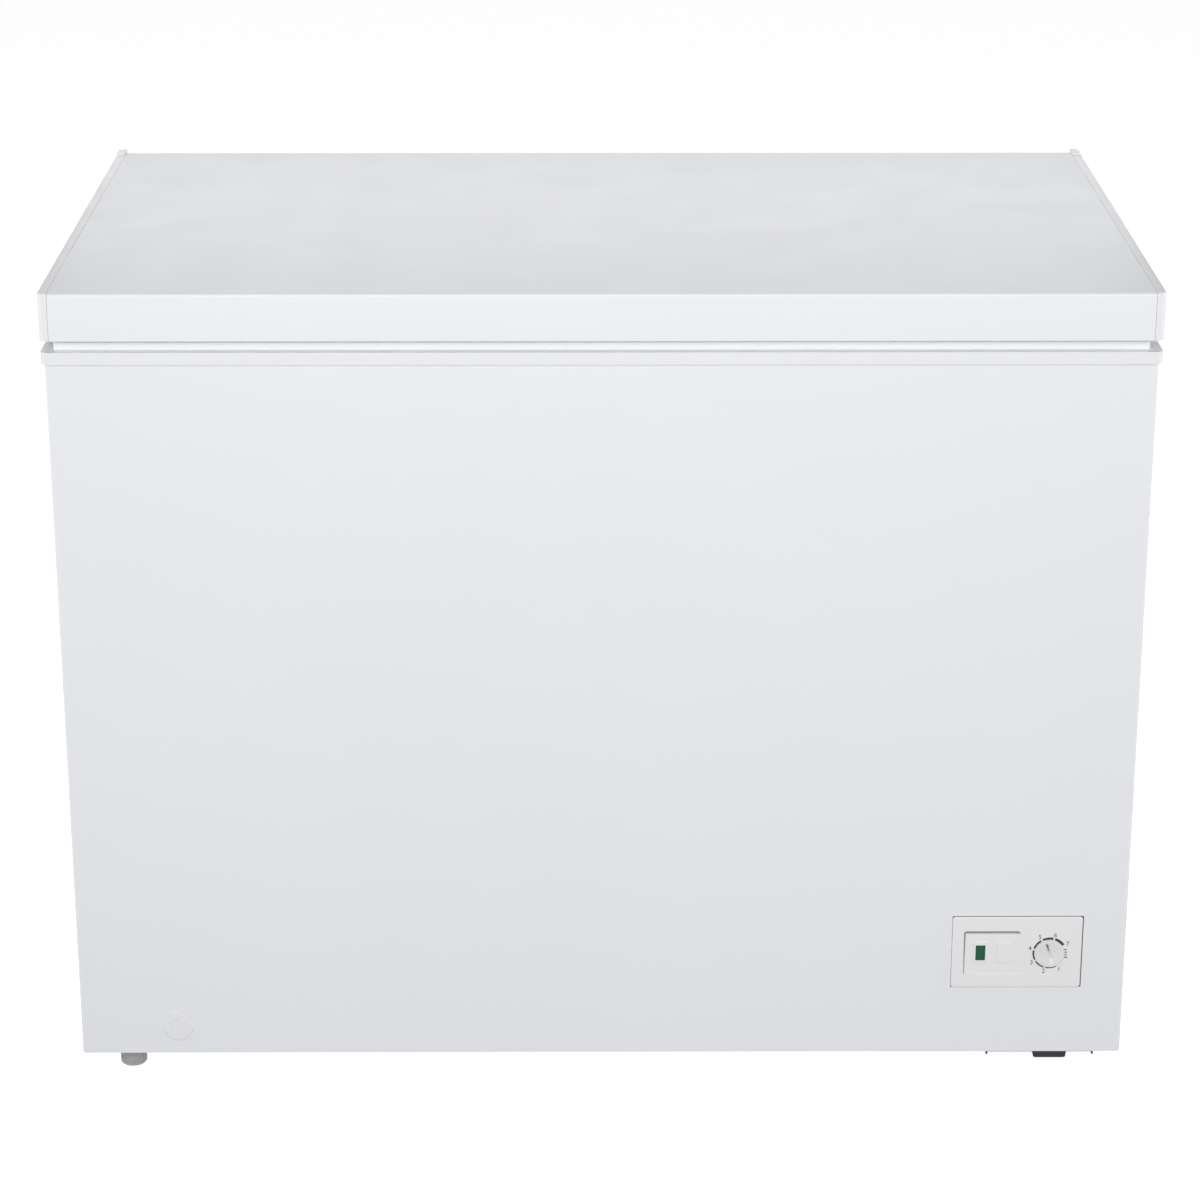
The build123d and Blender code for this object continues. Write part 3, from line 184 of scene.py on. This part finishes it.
# --- Foam -----------------------------------------------------------------------------------------
# Yellow polyurethane foam, blown between the skins of the cabinet and the lid, where it sets and
# holds them together. It shows only where a panel is off.
foam = finish_of("polyurethane_foam", (0.72, 0.58, 0.30), 0.9)
vary_colour(foam, noise(foam, 60.0, 4.0), (0.66, 0.52, 0.25), (0.78, 0.65, 0.36))
raise_surface(foam, noise(foam, 700.0, 3.0), 0.0006)
dress(foam, "insulation_foam", "lid_foam")

# --- Tub: embossed aluminium --------------------------------------------------------------------
# Thin aluminium sheet, rolled with a stucco pattern of small pillows and folded into a tub that
# the foam holds inside the cabinet.
stucco = finish_of("embossed_aluminium", (0.80, 0.81, 0.82), 0.32, Metallic=1.0)
pillows = add_node(
    stucco, "ShaderNodeTexVoronoi", feature="SMOOTH_F1", inputs={"Scale": 150.0, "Smoothness": 0.6}
)
join(stucco, object_place(stucco), pillows.inputs["Vector"])
raise_surface(stucco, pillows.outputs["Distance"], 0.0014, 0.8)
vary_roughness(stucco, noise(stucco, 9.0, 3.0), 0.26, 0.38)
dress(stucco, "inner_liner")

# --- White plastic: collar, end caps, vent, drain cap, lid lining -------------------------------
# Injection moulded polystyrene, smooth, with a faint mould texture and a soft gloss. The pieces
# clip over the steel's edges.
moulded_white = finish_of("moulded_white_plastic", (0.785, 0.79, 0.81), 0.32, Subsurface_Weight=0.04)
shader_input(moulded_white, "Subsurface Scale").default_value = 0.002
vary_roughness(moulded_white, noise(moulded_white, 25.0, 3.0), 0.28, 0.36)
raise_surface(moulded_white, noise(moulded_white, 900.0, 2.0), 0.00003, 0.5)
dress(
    moulded_white, "top_collar", "lid_end_cap_left", "lid_end_cap_right", "side_vent_grille",
    "drain_cap", "lid_inner_liner",
)

# --- Machine compartment ------------------------------------------------------------------------
# A black stove-enamelled compressor bolted to a steel rail through rubber grommets, with copper
# tubes brazed to it. Small parts are black plastic or zinc plated steel.
black_enamel = finish_of("black_enamel", (0.012, 0.012, 0.013), 0.28, Coat_Weight=0.3)
raise_surface(black_enamel, noise(black_enamel, 260.0, 2.0), 0.00012, 0.6)
dress(black_enamel, "compressor", "compressor_rail")

rubber = finish_of("black_rubber", (0.022, 0.022, 0.024), 0.62)
vary_roughness(rubber, noise(rubber, 60.0, 3.0), 0.52, 0.72)
raise_surface(rubber, noise(rubber, 800.0, 2.0), 0.0001, 0.6)
dress(rubber, "compressor_grommets", "cord_gland", "block_foot_front", "block_foot_rear")

copper = finish_of("drawn_copper", (0.72, 0.36, 0.22), 0.28, Metallic=1.0)
vary_colour(copper, noise(copper, 40.0, 4.0), (0.55, 0.25, 0.14), (0.80, 0.44, 0.28))
vary_roughness(copper, noise(copper, 90.0, 3.0), 0.2, 0.42)
dress(copper, "suction_tube", "discharge_tube", "filter_drier", "capillary_tube", "thermostat_capillary")

drawn_tube = finish_of("drawn_tube", (0.60, 0.60, 0.61), 0.35, Metallic=1.0)
vary_roughness(drawn_tube, noise(drawn_tube, 70.0, 3.0), 0.28, 0.45)
dress(drawn_tube, "evaporator_tube", "condenser_tube")

black_plastic = finish_of("black_plastic", (0.03, 0.03, 0.031), 0.45)
raise_surface(black_plastic, noise(black_plastic, 600.0, 2.0), 0.00008, 0.6)
dress(black_plastic, "relay_cover", "wiring_harness", "thermostat_body")

zinc = finish_of("zinc_plate", (0.66, 0.66, 0.64), 0.3, Metallic=1.0)
vary_colour(zinc, noise(zinc, 120.0, 3.0), (0.58, 0.58, 0.55), (0.72, 0.72, 0.70))
vary_roughness(zinc, noise(zinc, 200.0, 2.0), 0.24, 0.4)
dress(
    zinc, "compressor_bolts", "cover_screws", "foot_inserts", "levelling_stud_front",
    "levelling_stud_rear", "thermostat_shaft", "hinge_pin_left", "hinge_pin_right",
    "hinge_spring_left", "hinge_spring_right", "hinge_screws_cabinet", "hinge_screws_lid",
)

# --- Control panel ------------------------------------------------------------------------------
# A white moulded plate clipped into the steel. It holds a green lamp in its frame, a blank cap
# and the thermostat's knob, a flat disc with a coin slot.
panel_white = finish_of("panel_plastic", (0.80, 0.80, 0.80), 0.3)
vary_roughness(panel_white, noise(panel_white, 30.0, 3.0), 0.27, 0.35)
raise_surface(panel_white, noise(panel_white, 1400.0, 2.0), 0.00003, 0.6)
dress(panel_white, "control_bezel", "indicator_frame", "blanking_cap")

knob_plastic = finish_of("knob_plastic", (0.74, 0.74, 0.75), 0.25)
vary_roughness(knob_plastic, noise(knob_plastic, 60.0, 3.0), 0.22, 0.30)
raise_surface(knob_plastic, noise(knob_plastic, 1400.0, 2.0), 0.00003, 0.6)
dress(knob_plastic, "thermostat_knob")

lens_green = finish_of("green_lens", (0.001, 0.085, 0.038), 0.22, Transmission_Weight=0.15)
shader_input(lens_green, "Specular IOR Level").default_value = 0.3
vary_colour(lens_green, noise(lens_green, 300.0, 2.0), (0.001, 0.075, 0.033), (0.002, 0.10, 0.045))
dress(lens_green, "indicator_lens")


# --- Painted shadow round the control panel -------------------------------------------------------
# A thin dark ring on the steel round the plate. It is painted shadow, for the shade the plate
# casts on the steel. It is set a little high and to the right, so it shows there as a dark line and hardly
# at all on the other sides.
def grid_faces(rows, columns, along=False, ends=False):
    """Four-sided faces over a grid of points, and the faces that close its two ends.

    A face's corners are its point, the next in its row, and the same two in the next row. Each
    row's last point joins its first, and along joins the last row to the first one.
    """
    index = np.arange(rows * columns).reshape(rows, columns)
    i, j = np.meshgrid(np.arange(rows if along else rows - 1), np.arange(columns), indexing="ij")
    i_next = (i + 1) % rows
    j_next = (j + 1) % columns
    quads = np.stack([index[i, j], index[i, j_next], index[i_next, j_next], index[i_next, j]], axis=-1)
    return quads.reshape(-1, 4), [index[0, ::-1], index[-1]] if ends else []


def surface(name, grid, along=False, ends=False):
    """A mesh over a grid of points, rows by columns by xyz, with the faces of grid_faces."""
    quads, caps = grid_faces(*grid.shape[:2], along, ends)
    mesh = bpy.data.meshes.new(name)
    mesh.from_pydata(grid.reshape(-1, 3).tolist(), [], quads.tolist() + [cap.tolist() for cap in caps])
    return mesh


def outward(mesh):
    """Turns a closed mesh's faces outwards."""
    work = bmesh.new()
    work.from_mesh(mesh)
    bmesh.ops.recalc_face_normals(work, faces=work.faces)
    work.to_mesh(mesh)
    work.free()


def make_piece(name, mesh, material, body, crease=35):
    """A finished piece at the origin: smoothed, linked, dressed and riding on its body."""
    outward(mesh)
    mesh.shade_smooth()
    mesh.set_sharp_from_angle(angle=math.radians(crease))
    mesh.materials.append(material)
    piece = bpy.data.objects.new(name, mesh)
    scene.collection.objects.link(piece)
    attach(piece, body)
    return piece


def rounded_loop(low, high, radius, reach, steps=9):
    """Points round a rectangle with rounded corners, grown outwards by each reach.

    A corner's radius is radius plus reach, and at least a millimetre. Its arc's centre lies that
    far inside the grown rectangle's corner, and its points are the centre plus the radius times
    (cos, sin) of its quarter turn. The result is points by reaches by two.
    """
    quarter = np.linspace(0, math.pi / 2, steps)
    angle = (quarter[None, :] + np.arange(4)[:, None] * math.pi / 2).reshape(-1, 1)
    right = np.repeat([True, False, False, True], steps)[:, None]
    top = np.repeat([True, True, False, False], steps)[:, None]
    reach = np.asarray(reach)[None, :]
    bend = np.maximum(radius + reach, 0.001)
    centre_a = np.where(right, high[0] + reach - bend, low[0] - reach + bend)
    centre_b = np.where(top, high[1] + reach - bend, low[1] - reach + bend)
    return np.stack([centre_a + bend * np.cos(angle), centre_b + bend * np.sin(angle)], axis=-1)


plate_low, plate_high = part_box("control_bezel")
steel_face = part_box("outer_cabinet")[0].y
shadow_ring_thickness = 0.00025
# How far the painted shadow shows beyond the plate on each side; widest on the right and top.
shadow_ring_shown = {"left": 0.0003, "right": 0.0012, "bottom": 0.0004, "top": 0.0006}
shadow_ring_corner = 0.0012
plate_corner = 0.003
shadow_ring_outside = rounded_loop(
    (plate_low.x - shadow_ring_shown["left"], plate_low.z - shadow_ring_shown["bottom"]),
    (plate_high.x + shadow_ring_shown["right"], plate_high.z + shadow_ring_shown["top"]), shadow_ring_corner, (0.0,),
)
shadow_ring_inside = rounded_loop((plate_low.x, plate_low.z), (plate_high.x, plate_high.z), plate_corner, (0.0,))
shadow_ring_points = np.concatenate([shadow_ring_inside, shadow_ring_outside, shadow_ring_outside, shadow_ring_inside], axis=1)
shadow_ring_depth = np.array([steel_face, steel_face, steel_face - shadow_ring_thickness, steel_face - shadow_ring_thickness])
shadow_ring_grid = np.empty((*shadow_ring_points.shape[:2], 3))
shadow_ring_grid[..., 0] = shadow_ring_points[..., 0]
shadow_ring_grid[..., 1] = shadow_ring_depth
shadow_ring_grid[..., 2] = shadow_ring_points[..., 1]
# Dark paint standing in for the plate's shadow on the steel.
panel_shadow_paint = finish_of("painted_panel_shadow", (0.10, 0.10, 0.105), 0.85)
raise_surface(panel_shadow_paint, noise(panel_shadow_paint, 1800.0, 2.0), 0.0001)
make_piece("panel_shadow_ring", surface("panel_shadow_ring", shadow_ring_grid, along=True), panel_shadow_paint, "cabinet")


# --- Groove round the lamp's field, with painted shade ----------------------------------------------
# A shallow field is sunk in the plate for the lamp and the cap, with a deep groove along its top
# and left edges. Grey paint on the groove's bottom is painted shade: darkest along the top, it fades out
# down the left side.
window_offset = (-0.0250, -0.00055)  # from the plate's centre
window_centre = (
    (plate_low.x + plate_high.x) / 2 + window_offset[0],
    (plate_low.z + plate_high.z) / 2 + window_offset[1],
)
window_half = (0.03125, 0.0250)
groove_above = 0.0030
groove_beside = 0.0016
groove_slant = 0.0050
groove_depth = 0.0034
groove_corner = 0.0025
# Corner, thickness and clearances of the painted shade in the groove.
groove_shade_corner = 0.0009
groove_shade_thickness = 0.0004
groove_shade_gap = 0.00001  # off the groove's bottom
groove_shade_inset = 0.00003  # off the groove's outer wall
left, right = window_centre[0] - window_half[0], window_centre[0] + window_half[0]
low, high = window_centre[1] - window_half[1], window_centre[1] + window_half[1]
quarter = np.linspace(0, math.pi / 2, 8)
outer = np.stack([
    np.concatenate([
        [left, left], left + groove_corner - groove_corner * np.cos(quarter), [right - groove_slant],
    ]),
    np.concatenate([
        [low + groove_corner, high - groove_corner],
        high - groove_corner + groove_corner * np.sin(quarter), [high],
    ]),
], axis=-1)
inner_left = left + groove_beside
inner_high = high - groove_above
inner = np.stack([
    np.concatenate([
        [inner_left, inner_left], inner_left + groove_shade_corner - groove_shade_corner * np.cos(quarter),
        [right - groove_slant + groove_above],
    ]),
    np.concatenate([
        [low + groove_corner, inner_high - groove_shade_corner],
        inner_high - groove_shade_corner + groove_shade_corner * np.sin(quarter), [inner_high],
    ]),
], axis=-1)
outer_wall = outer + (groove_shade_inset, -groove_shade_inset)
band = np.stack([outer_wall, inner, inner, outer_wall], axis=1)
band_depth = plate_low.y + groove_depth - groove_shade_thickness * np.array([0, 0, 1, 1]) - groove_shade_gap
band_grid = np.stack(
    [band[..., 0], np.broadcast_to(band_depth, band.shape[:2]), band[..., 1]], axis=-1
)
# Painted shade: dark grey along the groove's top, lighter grey down the left side.
groove_shade_paint = finish_of("painted_groove_shade", (0.26, 0.26, 0.265), 0.45)
groove_shade_fade = add_node(groove_shade_paint, "ShaderNodeSeparateXYZ")
join(groove_shade_paint, object_place(groove_shade_paint), groove_shade_fade.inputs["Vector"])
vary_colour(
    groove_shade_paint, ramp(groove_shade_paint, groove_shade_fade.outputs["Z"], 0.0, 1.0, low, high - groove_above),
    (0.62, 0.62, 0.62), (0.26, 0.26, 0.265), 0.1, 0.95,
)
vary_roughness(groove_shade_paint, noise(groove_shade_paint, 700.0, 2.0), 0.4, 0.5)
make_piece(
    "field_groove_shade", surface("field_groove_shade", band_grid, ends=True), groove_shade_paint, "cabinet",
)


# --- Dial print -----------------------------------------------------------------------------------
# Black ink printed on the plate round the knob: an arc in six steps that thickens from 1 to 7,
# short bars on towards the coldest setting, and the seven numbers.
ink = finish_of("printing_ink", (0.028, 0.028, 0.030), 0.55)
vary_roughness(ink, noise(ink, 900.0, 2.0), 0.48, 0.62)
ink_thickness = 0.00006
knob_low, knob_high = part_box("thermostat_knob")
dial_x = (knob_low.x + knob_high.x) / 2
dial_z = (knob_low.z + knob_high.z) / 2
dial_y = plate_low.y
ring_radius = 0.0171
number_radius = 0.0215
number_height = 0.0052
figure_share = 0.73  # a figure's height over its type size
first_mark = math.radians(150)
mark_step = math.radians(45)
mark_gap = math.radians(3.2)
arc_thin = 0.0009
arc_thick = 0.0029


def printed_arc(start, end, width_start, width_end, steps=12):
    """A flat strip of ink round the dial, from one angle to another, clockwise from straight up.

    Its middle is at ring_radius, its width runs evenly from one end's to the other's, and its
    section is a thin rectangle that stands ink_thickness off the plate.
    """
    angle = np.linspace(start, end, steps)[:, None]
    half = np.linspace(width_start, width_end, steps)[:, None] / 2
    side = np.array([-1, 1, 1, -1])[None, :]
    out = np.array([0, 0, 1, 1])[None, :]
    radius = ring_radius + side * half
    x = dial_x + radius * np.sin(angle)
    z = dial_z + radius * np.cos(angle)
    y = dial_y - ink_thickness * np.broadcast_to(out, x.shape)
    return np.stack([x, y, z], axis=-1)


def mark_angle(number):
    return first_mark + (number - 1) * mark_step


for number in range(1, 7):
    start = mark_angle(number) + mark_gap
    end = mark_angle(number + 1) - mark_gap
    widths = np.interp([number, number + 1], [1, 7], [arc_thin, arc_thick])
    strip = surface(f"dial_arc_{number}", printed_arc(start, end, *widths), ends=True)
    make_piece(f"dial_arc_{number}", strip, ink, "cabinet")

bar_half_turn = math.radians(1.9)
bar_turns = (15.5, 26.0, 36.5, 45.5)  # degrees past the 7
bar_widths = np.array([1.05, 1.05, 1.05, 1.9]) * arc_thick
for bar, (turned, width) in enumerate(zip(bar_turns, bar_widths)):
    middle = mark_angle(7) + math.radians(turned)
    strip = surface(
        f"dial_bar_{bar + 1}", printed_arc(middle - bar_half_turn, middle + bar_half_turn, width, width, 3),
        ends=True,
    )
    make_piece(f"dial_bar_{bar + 1}", strip, ink, "cabinet")

for number in range(1, 8):
    words = bpy.data.curves.new(f"number_{number}", "FONT")
    words.body = str(number)
    words.size = number_height / figure_share
    words.extrude = ink_thickness / 2
    words.align_x = "CENTER"
    words.align_y = "CENTER"
    sketch = bpy.data.objects.new(f"sketch_{number}", words)
    scene.collection.objects.link(sketch)
    bpy.context.view_layer.update()
    figure = bpy.data.meshes.new_from_object(sketch)
    figure.name = f"dial_number_{number}"
    bpy.data.objects.remove(sketch)
    angle = mark_angle(number)
    middle = (
        dial_x + number_radius * math.sin(angle), dial_y - ink_thickness / 2,
        dial_z + number_radius * math.cos(angle),
    )
    figure.transform(Matrix.Translation(middle) @ Matrix.Rotation(math.pi / 2, 4, "X"))
    make_piece(f"dial_number_{number}", figure, ink, "cabinet")

# --- Pointer paint and painted shade in the knob's slot --------------------------------------------
# The coin slot across the knob has an arc for its bottom. Grey paint on the half that points at
# the scale shows the setting and is also painted shade for that end of the slot; it thins out towards the
# middle.
pointer_angle = math.radians(-17)
slot_half_length = 0.012
slot_depth = 0.0036
paint_lift = 0.00005
paint_ends = (0.0016, 0.0116)  # along the slot, from the knob's centre
paint_half_widths = (0.0003, 0.00125)
arc_radius = (slot_half_length**2 + slot_depth**2) / (2 * slot_depth)
arc_centre = knob_low.y + slot_depth - arc_radius


def slot_paint(steps=16):
    """A thin wedge of paint that lies on the slot's bottom.

    Its depth at a distance r along the slot is the arc's centre plus the square root of
    the arc's radius squared less r squared; its width runs evenly between its two ends'.
    """
    r = np.linspace(*paint_ends, steps)[:, None]
    half = np.linspace(*paint_half_widths, steps)[:, None]
    side = np.array([-1, 1, 1, -1])[None, :]
    lift = np.array([0, 0, 1, 1])[None, :] * paint_lift
    bottom = arc_centre + np.sqrt(arc_radius**2 - r**2)
    x = dial_x + r * math.sin(pointer_angle) + side * half * math.cos(pointer_angle)
    z = dial_z + r * math.cos(pointer_angle) - side * half * math.sin(pointer_angle)
    y = np.broadcast_to(bottom - lift, x.shape)
    return np.stack([x, y, z], axis=-1)


# Grey that marks the pointer and paints in the shade at that end of the slot.
pointer_and_shade_paint = finish_of("pointer_and_shade_paint", (0.20, 0.20, 0.205), 0.5)
vary_roughness(pointer_and_shade_paint, noise(pointer_and_shade_paint, 900.0, 2.0), 0.45, 0.6)
make_piece(
    "pointer_and_shade_paint", surface("pointer_and_shade_paint", slot_paint(), ends=True), pointer_and_shade_paint,
    "thermostat_dial",
)

# --- Drain and levelling feet ---------------------------------------------------------------------
# A grey plastic elbow from the tub floor to the front, closed at both ends by plugs. The feet
# are ribbed grey plastic, moulded on the heads of threaded studs.
grey_plastic = finish_of("grey_plastic", (0.40, 0.40, 0.415), 0.24)
vary_colour(grey_plastic, noise(grey_plastic, 70.0, 3.0), (0.37, 0.37, 0.385), (0.43, 0.43, 0.445))
raise_surface(grey_plastic, noise(grey_plastic, 900.0, 2.0), 0.00005, 0.6)
dress(grey_plastic, "drain_tube", "levelling_foot_front", "levelling_foot_rear")

grey_rubber = finish_of("grey_rubber", (0.34, 0.34, 0.34), 0.6)
vary_roughness(grey_rubber, noise(grey_rubber, 60.0, 3.0), 0.52, 0.68)
raise_surface(grey_rubber, noise(grey_rubber, 900.0, 2.0), 0.00008, 0.6)
dress(grey_rubber, "drain_plug")


# --- Basket -----------------------------------------------------------------------------------------
# Steel wire, bent, spot welded and dipped in white plastic. U-shaped wires run down, across and
# up both ways, three belts hold them, and four wire hooks hang the rim on the collar's ledge.
def wire(path, flat, radius, sides=8):
    """A round wire along a path that lies in one plane; flat is that plane's normal.

    Each ring is the path's point plus radius times (cos of its turn along flat, sin of its turn
    along the cross product of the path's direction and flat).
    """
    direction = np.gradient(path, axis=0)
    direction /= np.linalg.norm(direction, axis=1, keepdims=True)
    flat = np.asarray(flat, float)
    turn_by = np.linspace(0, 2 * math.pi, sides, endpoint=False)
    sideways = np.cross(direction, flat)
    ring = np.cos(turn_by)[None, :, None] * flat + np.sin(turn_by)[None, :, None] * sideways[:, None, :]
    return path[:, None, :] + radius * ring


def wall_to_wall(first, last, low, top, bend, steps=5):
    """Heights and places of a U: down one wall, round a bend, across, round a bend and up."""
    quarter = np.linspace(0, math.pi / 2, steps)
    place = np.concatenate([
        [first], first + bend - bend * np.cos(quarter), last - bend + bend * np.sin(quarter), [last],
    ])
    height = np.concatenate([
        [top], low + bend - bend * np.sin(quarter), low + bend - bend * np.cos(quarter), [top],
    ])
    return place, height


basket_low, basket_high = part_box("basket")
wire_radius = 0.0019
rim_radius = 0.0024
rim_below_hooks = 0.0103
hook_reach = 0.0165  # from a side wall out to the hooks' ends
rim_corner = 0.024
cross_wires = 10
long_wires = 18
rim_z = basket_high.z - rim_below_hooks - rim_radius
floor_z = basket_low.z + wire_radius
side_low = basket_low.y + hook_reach + rim_radius
side_high = basket_high.y - hook_reach - rim_radius
end_low = basket_low.x + rim_radius
end_high = basket_high.x - rim_radius
wire_bend = 0.016
wires = []
for x in np.linspace(end_low + rim_corner, end_high - rim_corner, cross_wires):
    y, z = wall_to_wall(side_low + wire_radius, side_high - wire_radius, floor_z, rim_z, wire_bend)
    wires.append((wire(np.stack([np.full_like(y, x), y, z], axis=-1), (1, 0, 0), wire_radius), False))
for y in np.linspace(side_low + rim_corner, side_high - rim_corner, long_wires):
    x, z = wall_to_wall(
        end_low + wire_radius, end_high - wire_radius, floor_z + 2 * wire_radius, rim_z, wire_bend
    )
    wires.append((wire(np.stack([x, np.full_like(x, y), z], axis=-1), (0, 1, 0), wire_radius), False))
turn_by = np.linspace(0, 2 * math.pi, 8, endpoint=False)
for share, radius in ((0.0, rim_radius), (0.35, wire_radius), (0.68, wire_radius)):
    z = rim_z + (floor_z - rim_z) * share
    rings = rounded_loop(
        (end_low, side_low), (end_high, side_high), rim_corner, radius * np.cos(turn_by), 7
    )
    rise = np.broadcast_to(z + radius * np.sin(turn_by), rings.shape[:2])
    wires.append((np.concatenate([rings, rise[..., None]], axis=-1), True))
hook_z = basket_high.z - rim_radius
hook_half = 0.0225
hook_from_end = 0.060
hook_bend = 0.004
quarter = np.linspace(0, math.pi / 2, 5)
for x in (basket_low.x + hook_from_end, basket_high.x - hook_from_end):
    for wall_y, end_y in ((side_low, basket_low.y + wire_radius), (side_high, basket_high.y - wire_radius)):
        away = np.sign(end_y - wall_y)
        y = np.concatenate([[wall_y], wall_y + away * hook_bend * (1 - np.cos(quarter)), [end_y]])
        z = np.concatenate([[rim_z], hook_z - hook_bend + hook_bend * np.sin(quarter), [hook_z]])
        for side in (-hook_half, hook_half):
            leg = np.stack([np.full_like(y, x + side), y, z], axis=-1)
            wires.append((wire(leg, (1, 0, 0), wire_radius), False))
        reach = hook_half + wire_radius
        bar = np.array([[x - reach, end_y, hook_z], [x + reach, end_y, hook_z]])
        wires.append((wire(bar, (0, 0, 1), wire_radius), False))
points = np.concatenate([grid.reshape(-1, 3) for grid, closed in wires])
faces = []
first = 0
for grid, closed in wires:
    quads, caps = grid_faces(*grid.shape[:2], along=closed, ends=not closed)
    faces += (quads + first).tolist() + [(cap + first).tolist() for cap in caps]
    first += grid.shape[0] * grid.shape[1]
basket_mesh = bpy.data.meshes.new("wire_basket")
basket_mesh.from_pydata(points.tolist(), [], faces)
dipped = finish_of("dipped_wire", (0.80, 0.80, 0.805), 0.3, Coat_Weight=0.3)
vary_roughness(dipped, noise(dipped, 60.0, 3.0), 0.24, 0.38)
raise_surface(dipped, noise(dipped, 240.0, 2.0), 0.00015, 0.6)
wire_basket = make_piece("wire_basket", basket_mesh, dipped, "storage_basket")
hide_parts("basket")

# --- Lid gasket -------------------------------------------------------------------------------------
# A white vinyl section welded into a ring: a flat pocket below for its magnet, and a folded
# bellows above that lets it reach the collar, pressed into the lid's lining.
gasket_low, gasket_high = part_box("lid_gasket")
gasket_width = 0.014
gasket_corner = 0.005
section_out = 0.001 * np.array([-0.5, -0.12, 0, 0, -0.12, -0.5, -2.6, -0.9, -2.9, -1.2, -1.4])
section_up = 0.001 * np.array([0, 0.12, 0.5, 7.4, 7.8, 8.0, 8.5, 9.3, 10.2, 11.0, 12.0])
section_reach = np.concatenate([section_out, (-gasket_width - section_out)[::-1]])
section_height = gasket_low.z + np.concatenate([section_up, section_up[::-1]])
ring = rounded_loop(
    (gasket_low.x, gasket_low.y), (gasket_high.x, gasket_high.y), gasket_corner, section_reach, 9
)
height = np.broadcast_to(section_height, ring.shape[:2])
gasket_mesh = surface("gasket_ring", np.concatenate([ring, height[..., None]], axis=-1), along=True)
vinyl = finish_of("white_vinyl", (0.80, 0.805, 0.82), 0.42)
vary_roughness(vinyl, noise(vinyl, 40.0, 3.0), 0.38, 0.48)
raise_surface(vinyl, noise(vinyl, 700.0, 2.0), 0.00004, 0.6)
gasket = make_piece("gasket_ring", gasket_mesh, vinyl, "lid", crease=60)
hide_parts("lid_gasket")

# --- Hinges -------------------------------------------------------------------------------------------
# Two pressed steel leaves to a hinge, painted pale grey, and screwed to the back panel and to the
# lid.
hinge_paint = finish_of("hinge_paint", (0.62, 0.62, 0.63), 0.4)
vary_roughness(hinge_paint, noise(hinge_paint, 50.0, 3.0), 0.35, 0.46)
raise_surface(hinge_paint, noise(hinge_paint, 400.0, 2.0), 0.00006, 0.6)
dress(
    hinge_paint, "hinge_lower_leaf_left", "hinge_lower_leaf_right",
    "hinge_upper_leaf_left", "hinge_upper_leaf_right",
)

# --- Studio -------------------------------------------------------------------------------------------
# A white floor that runs to the horizon, a white backdrop behind it, a dim pale room for the
# light that comes from all round, and large soft lights.
floor_mesh = bpy.data.meshes.new("floor")
floor_half = 14.0
corners = [(-1, -1, 0), (1, -1, 0), (1, 1, 0), (-1, 1, 0)]
floor_mesh.from_pydata((np.array(corners) * floor_half).tolist(), [], [(0, 1, 2, 3)])
floor = bpy.data.objects.new("floor", floor_mesh)
scene.collection.objects.link(floor)
floor_finish = finish_of("floor_paper", (0.30, 0.30, 0.30), 0.9, Emission_Strength=0.92)
shader_input(floor_finish, "Emission Color").default_value = (1, 1, 1, 1)
shader_input(floor_finish, "Specular IOR Level").default_value = 0.0
floor_mesh.materials.append(floor_finish)
floor.visible_diffuse = False

world = bpy.data.worlds.new("white_room")
scene.world = world
world.use_nodes = True
background = world.node_tree.nodes["Background"]
background.inputs["Color"].default_value = (0.97, 0.985, 1.0, 1)
background.inputs["Strength"].default_value = 0.20
backdrop = add_node(world, "ShaderNodeBackground", inputs={"Color": (1, 1, 1, 1), "Strength": 1.0})
seen = add_node(world, "ShaderNodeLightPath")
choice = add_node(world, "ShaderNodeMixShader")
join(world, seen.outputs["Is Camera Ray"], choice.inputs[0])
join(world, background.outputs["Background"], choice.inputs[1])
join(world, backdrop.outputs["Background"], choice.inputs[2])
join(world, choice.outputs["Shader"], world.node_tree.nodes["World Output"].inputs["Surface"])


def soft_light(name, place, aim, width, height, brightness):
    """A rectangular area light that faces a point; its power is pi times its area and brightness."""
    data = bpy.data.lights.new(name, "AREA")
    data.shape = "RECTANGLE"
    data.size = width
    data.size_y = height
    data.energy = math.pi * width * height * brightness
    light = bpy.data.objects.new(name, data)
    scene.collection.objects.link(light)
    light.visible_camera = False
    light.location = place
    light.rotation_euler = (Vector(aim) - Vector(place)).to_track_quat("-Z", "Y").to_euler()
    return light


soft_light("front", (0, -4.2, 1.35), (0, 0, 0.75), 3.6, 1.2, 7.0)
soft_light("front_top", (0, -3.0, 2.6), (0, -0.3, 0.5), 3.0, 0.6, 6.0)
soft_light("rear_top", (0, 1.0, 1.9), (0, 0.1, 0.85), 2.2, 0.6, 1.7)
soft_light("rear", (0, 2.2, 1.45), (0, 0.1, 0.85), 2.0, 0.6, 1.8)
soft_light("left", (-3.0, 0, 1.2), (0, 0, 0.5), 2.4, 1.6, 3.6)
soft_light("right", (3.0, 0, 1.2), (0, 0, 0.5), 2.4, 1.6, 3.6)

scene.view_settings.view_transform = "Standard"
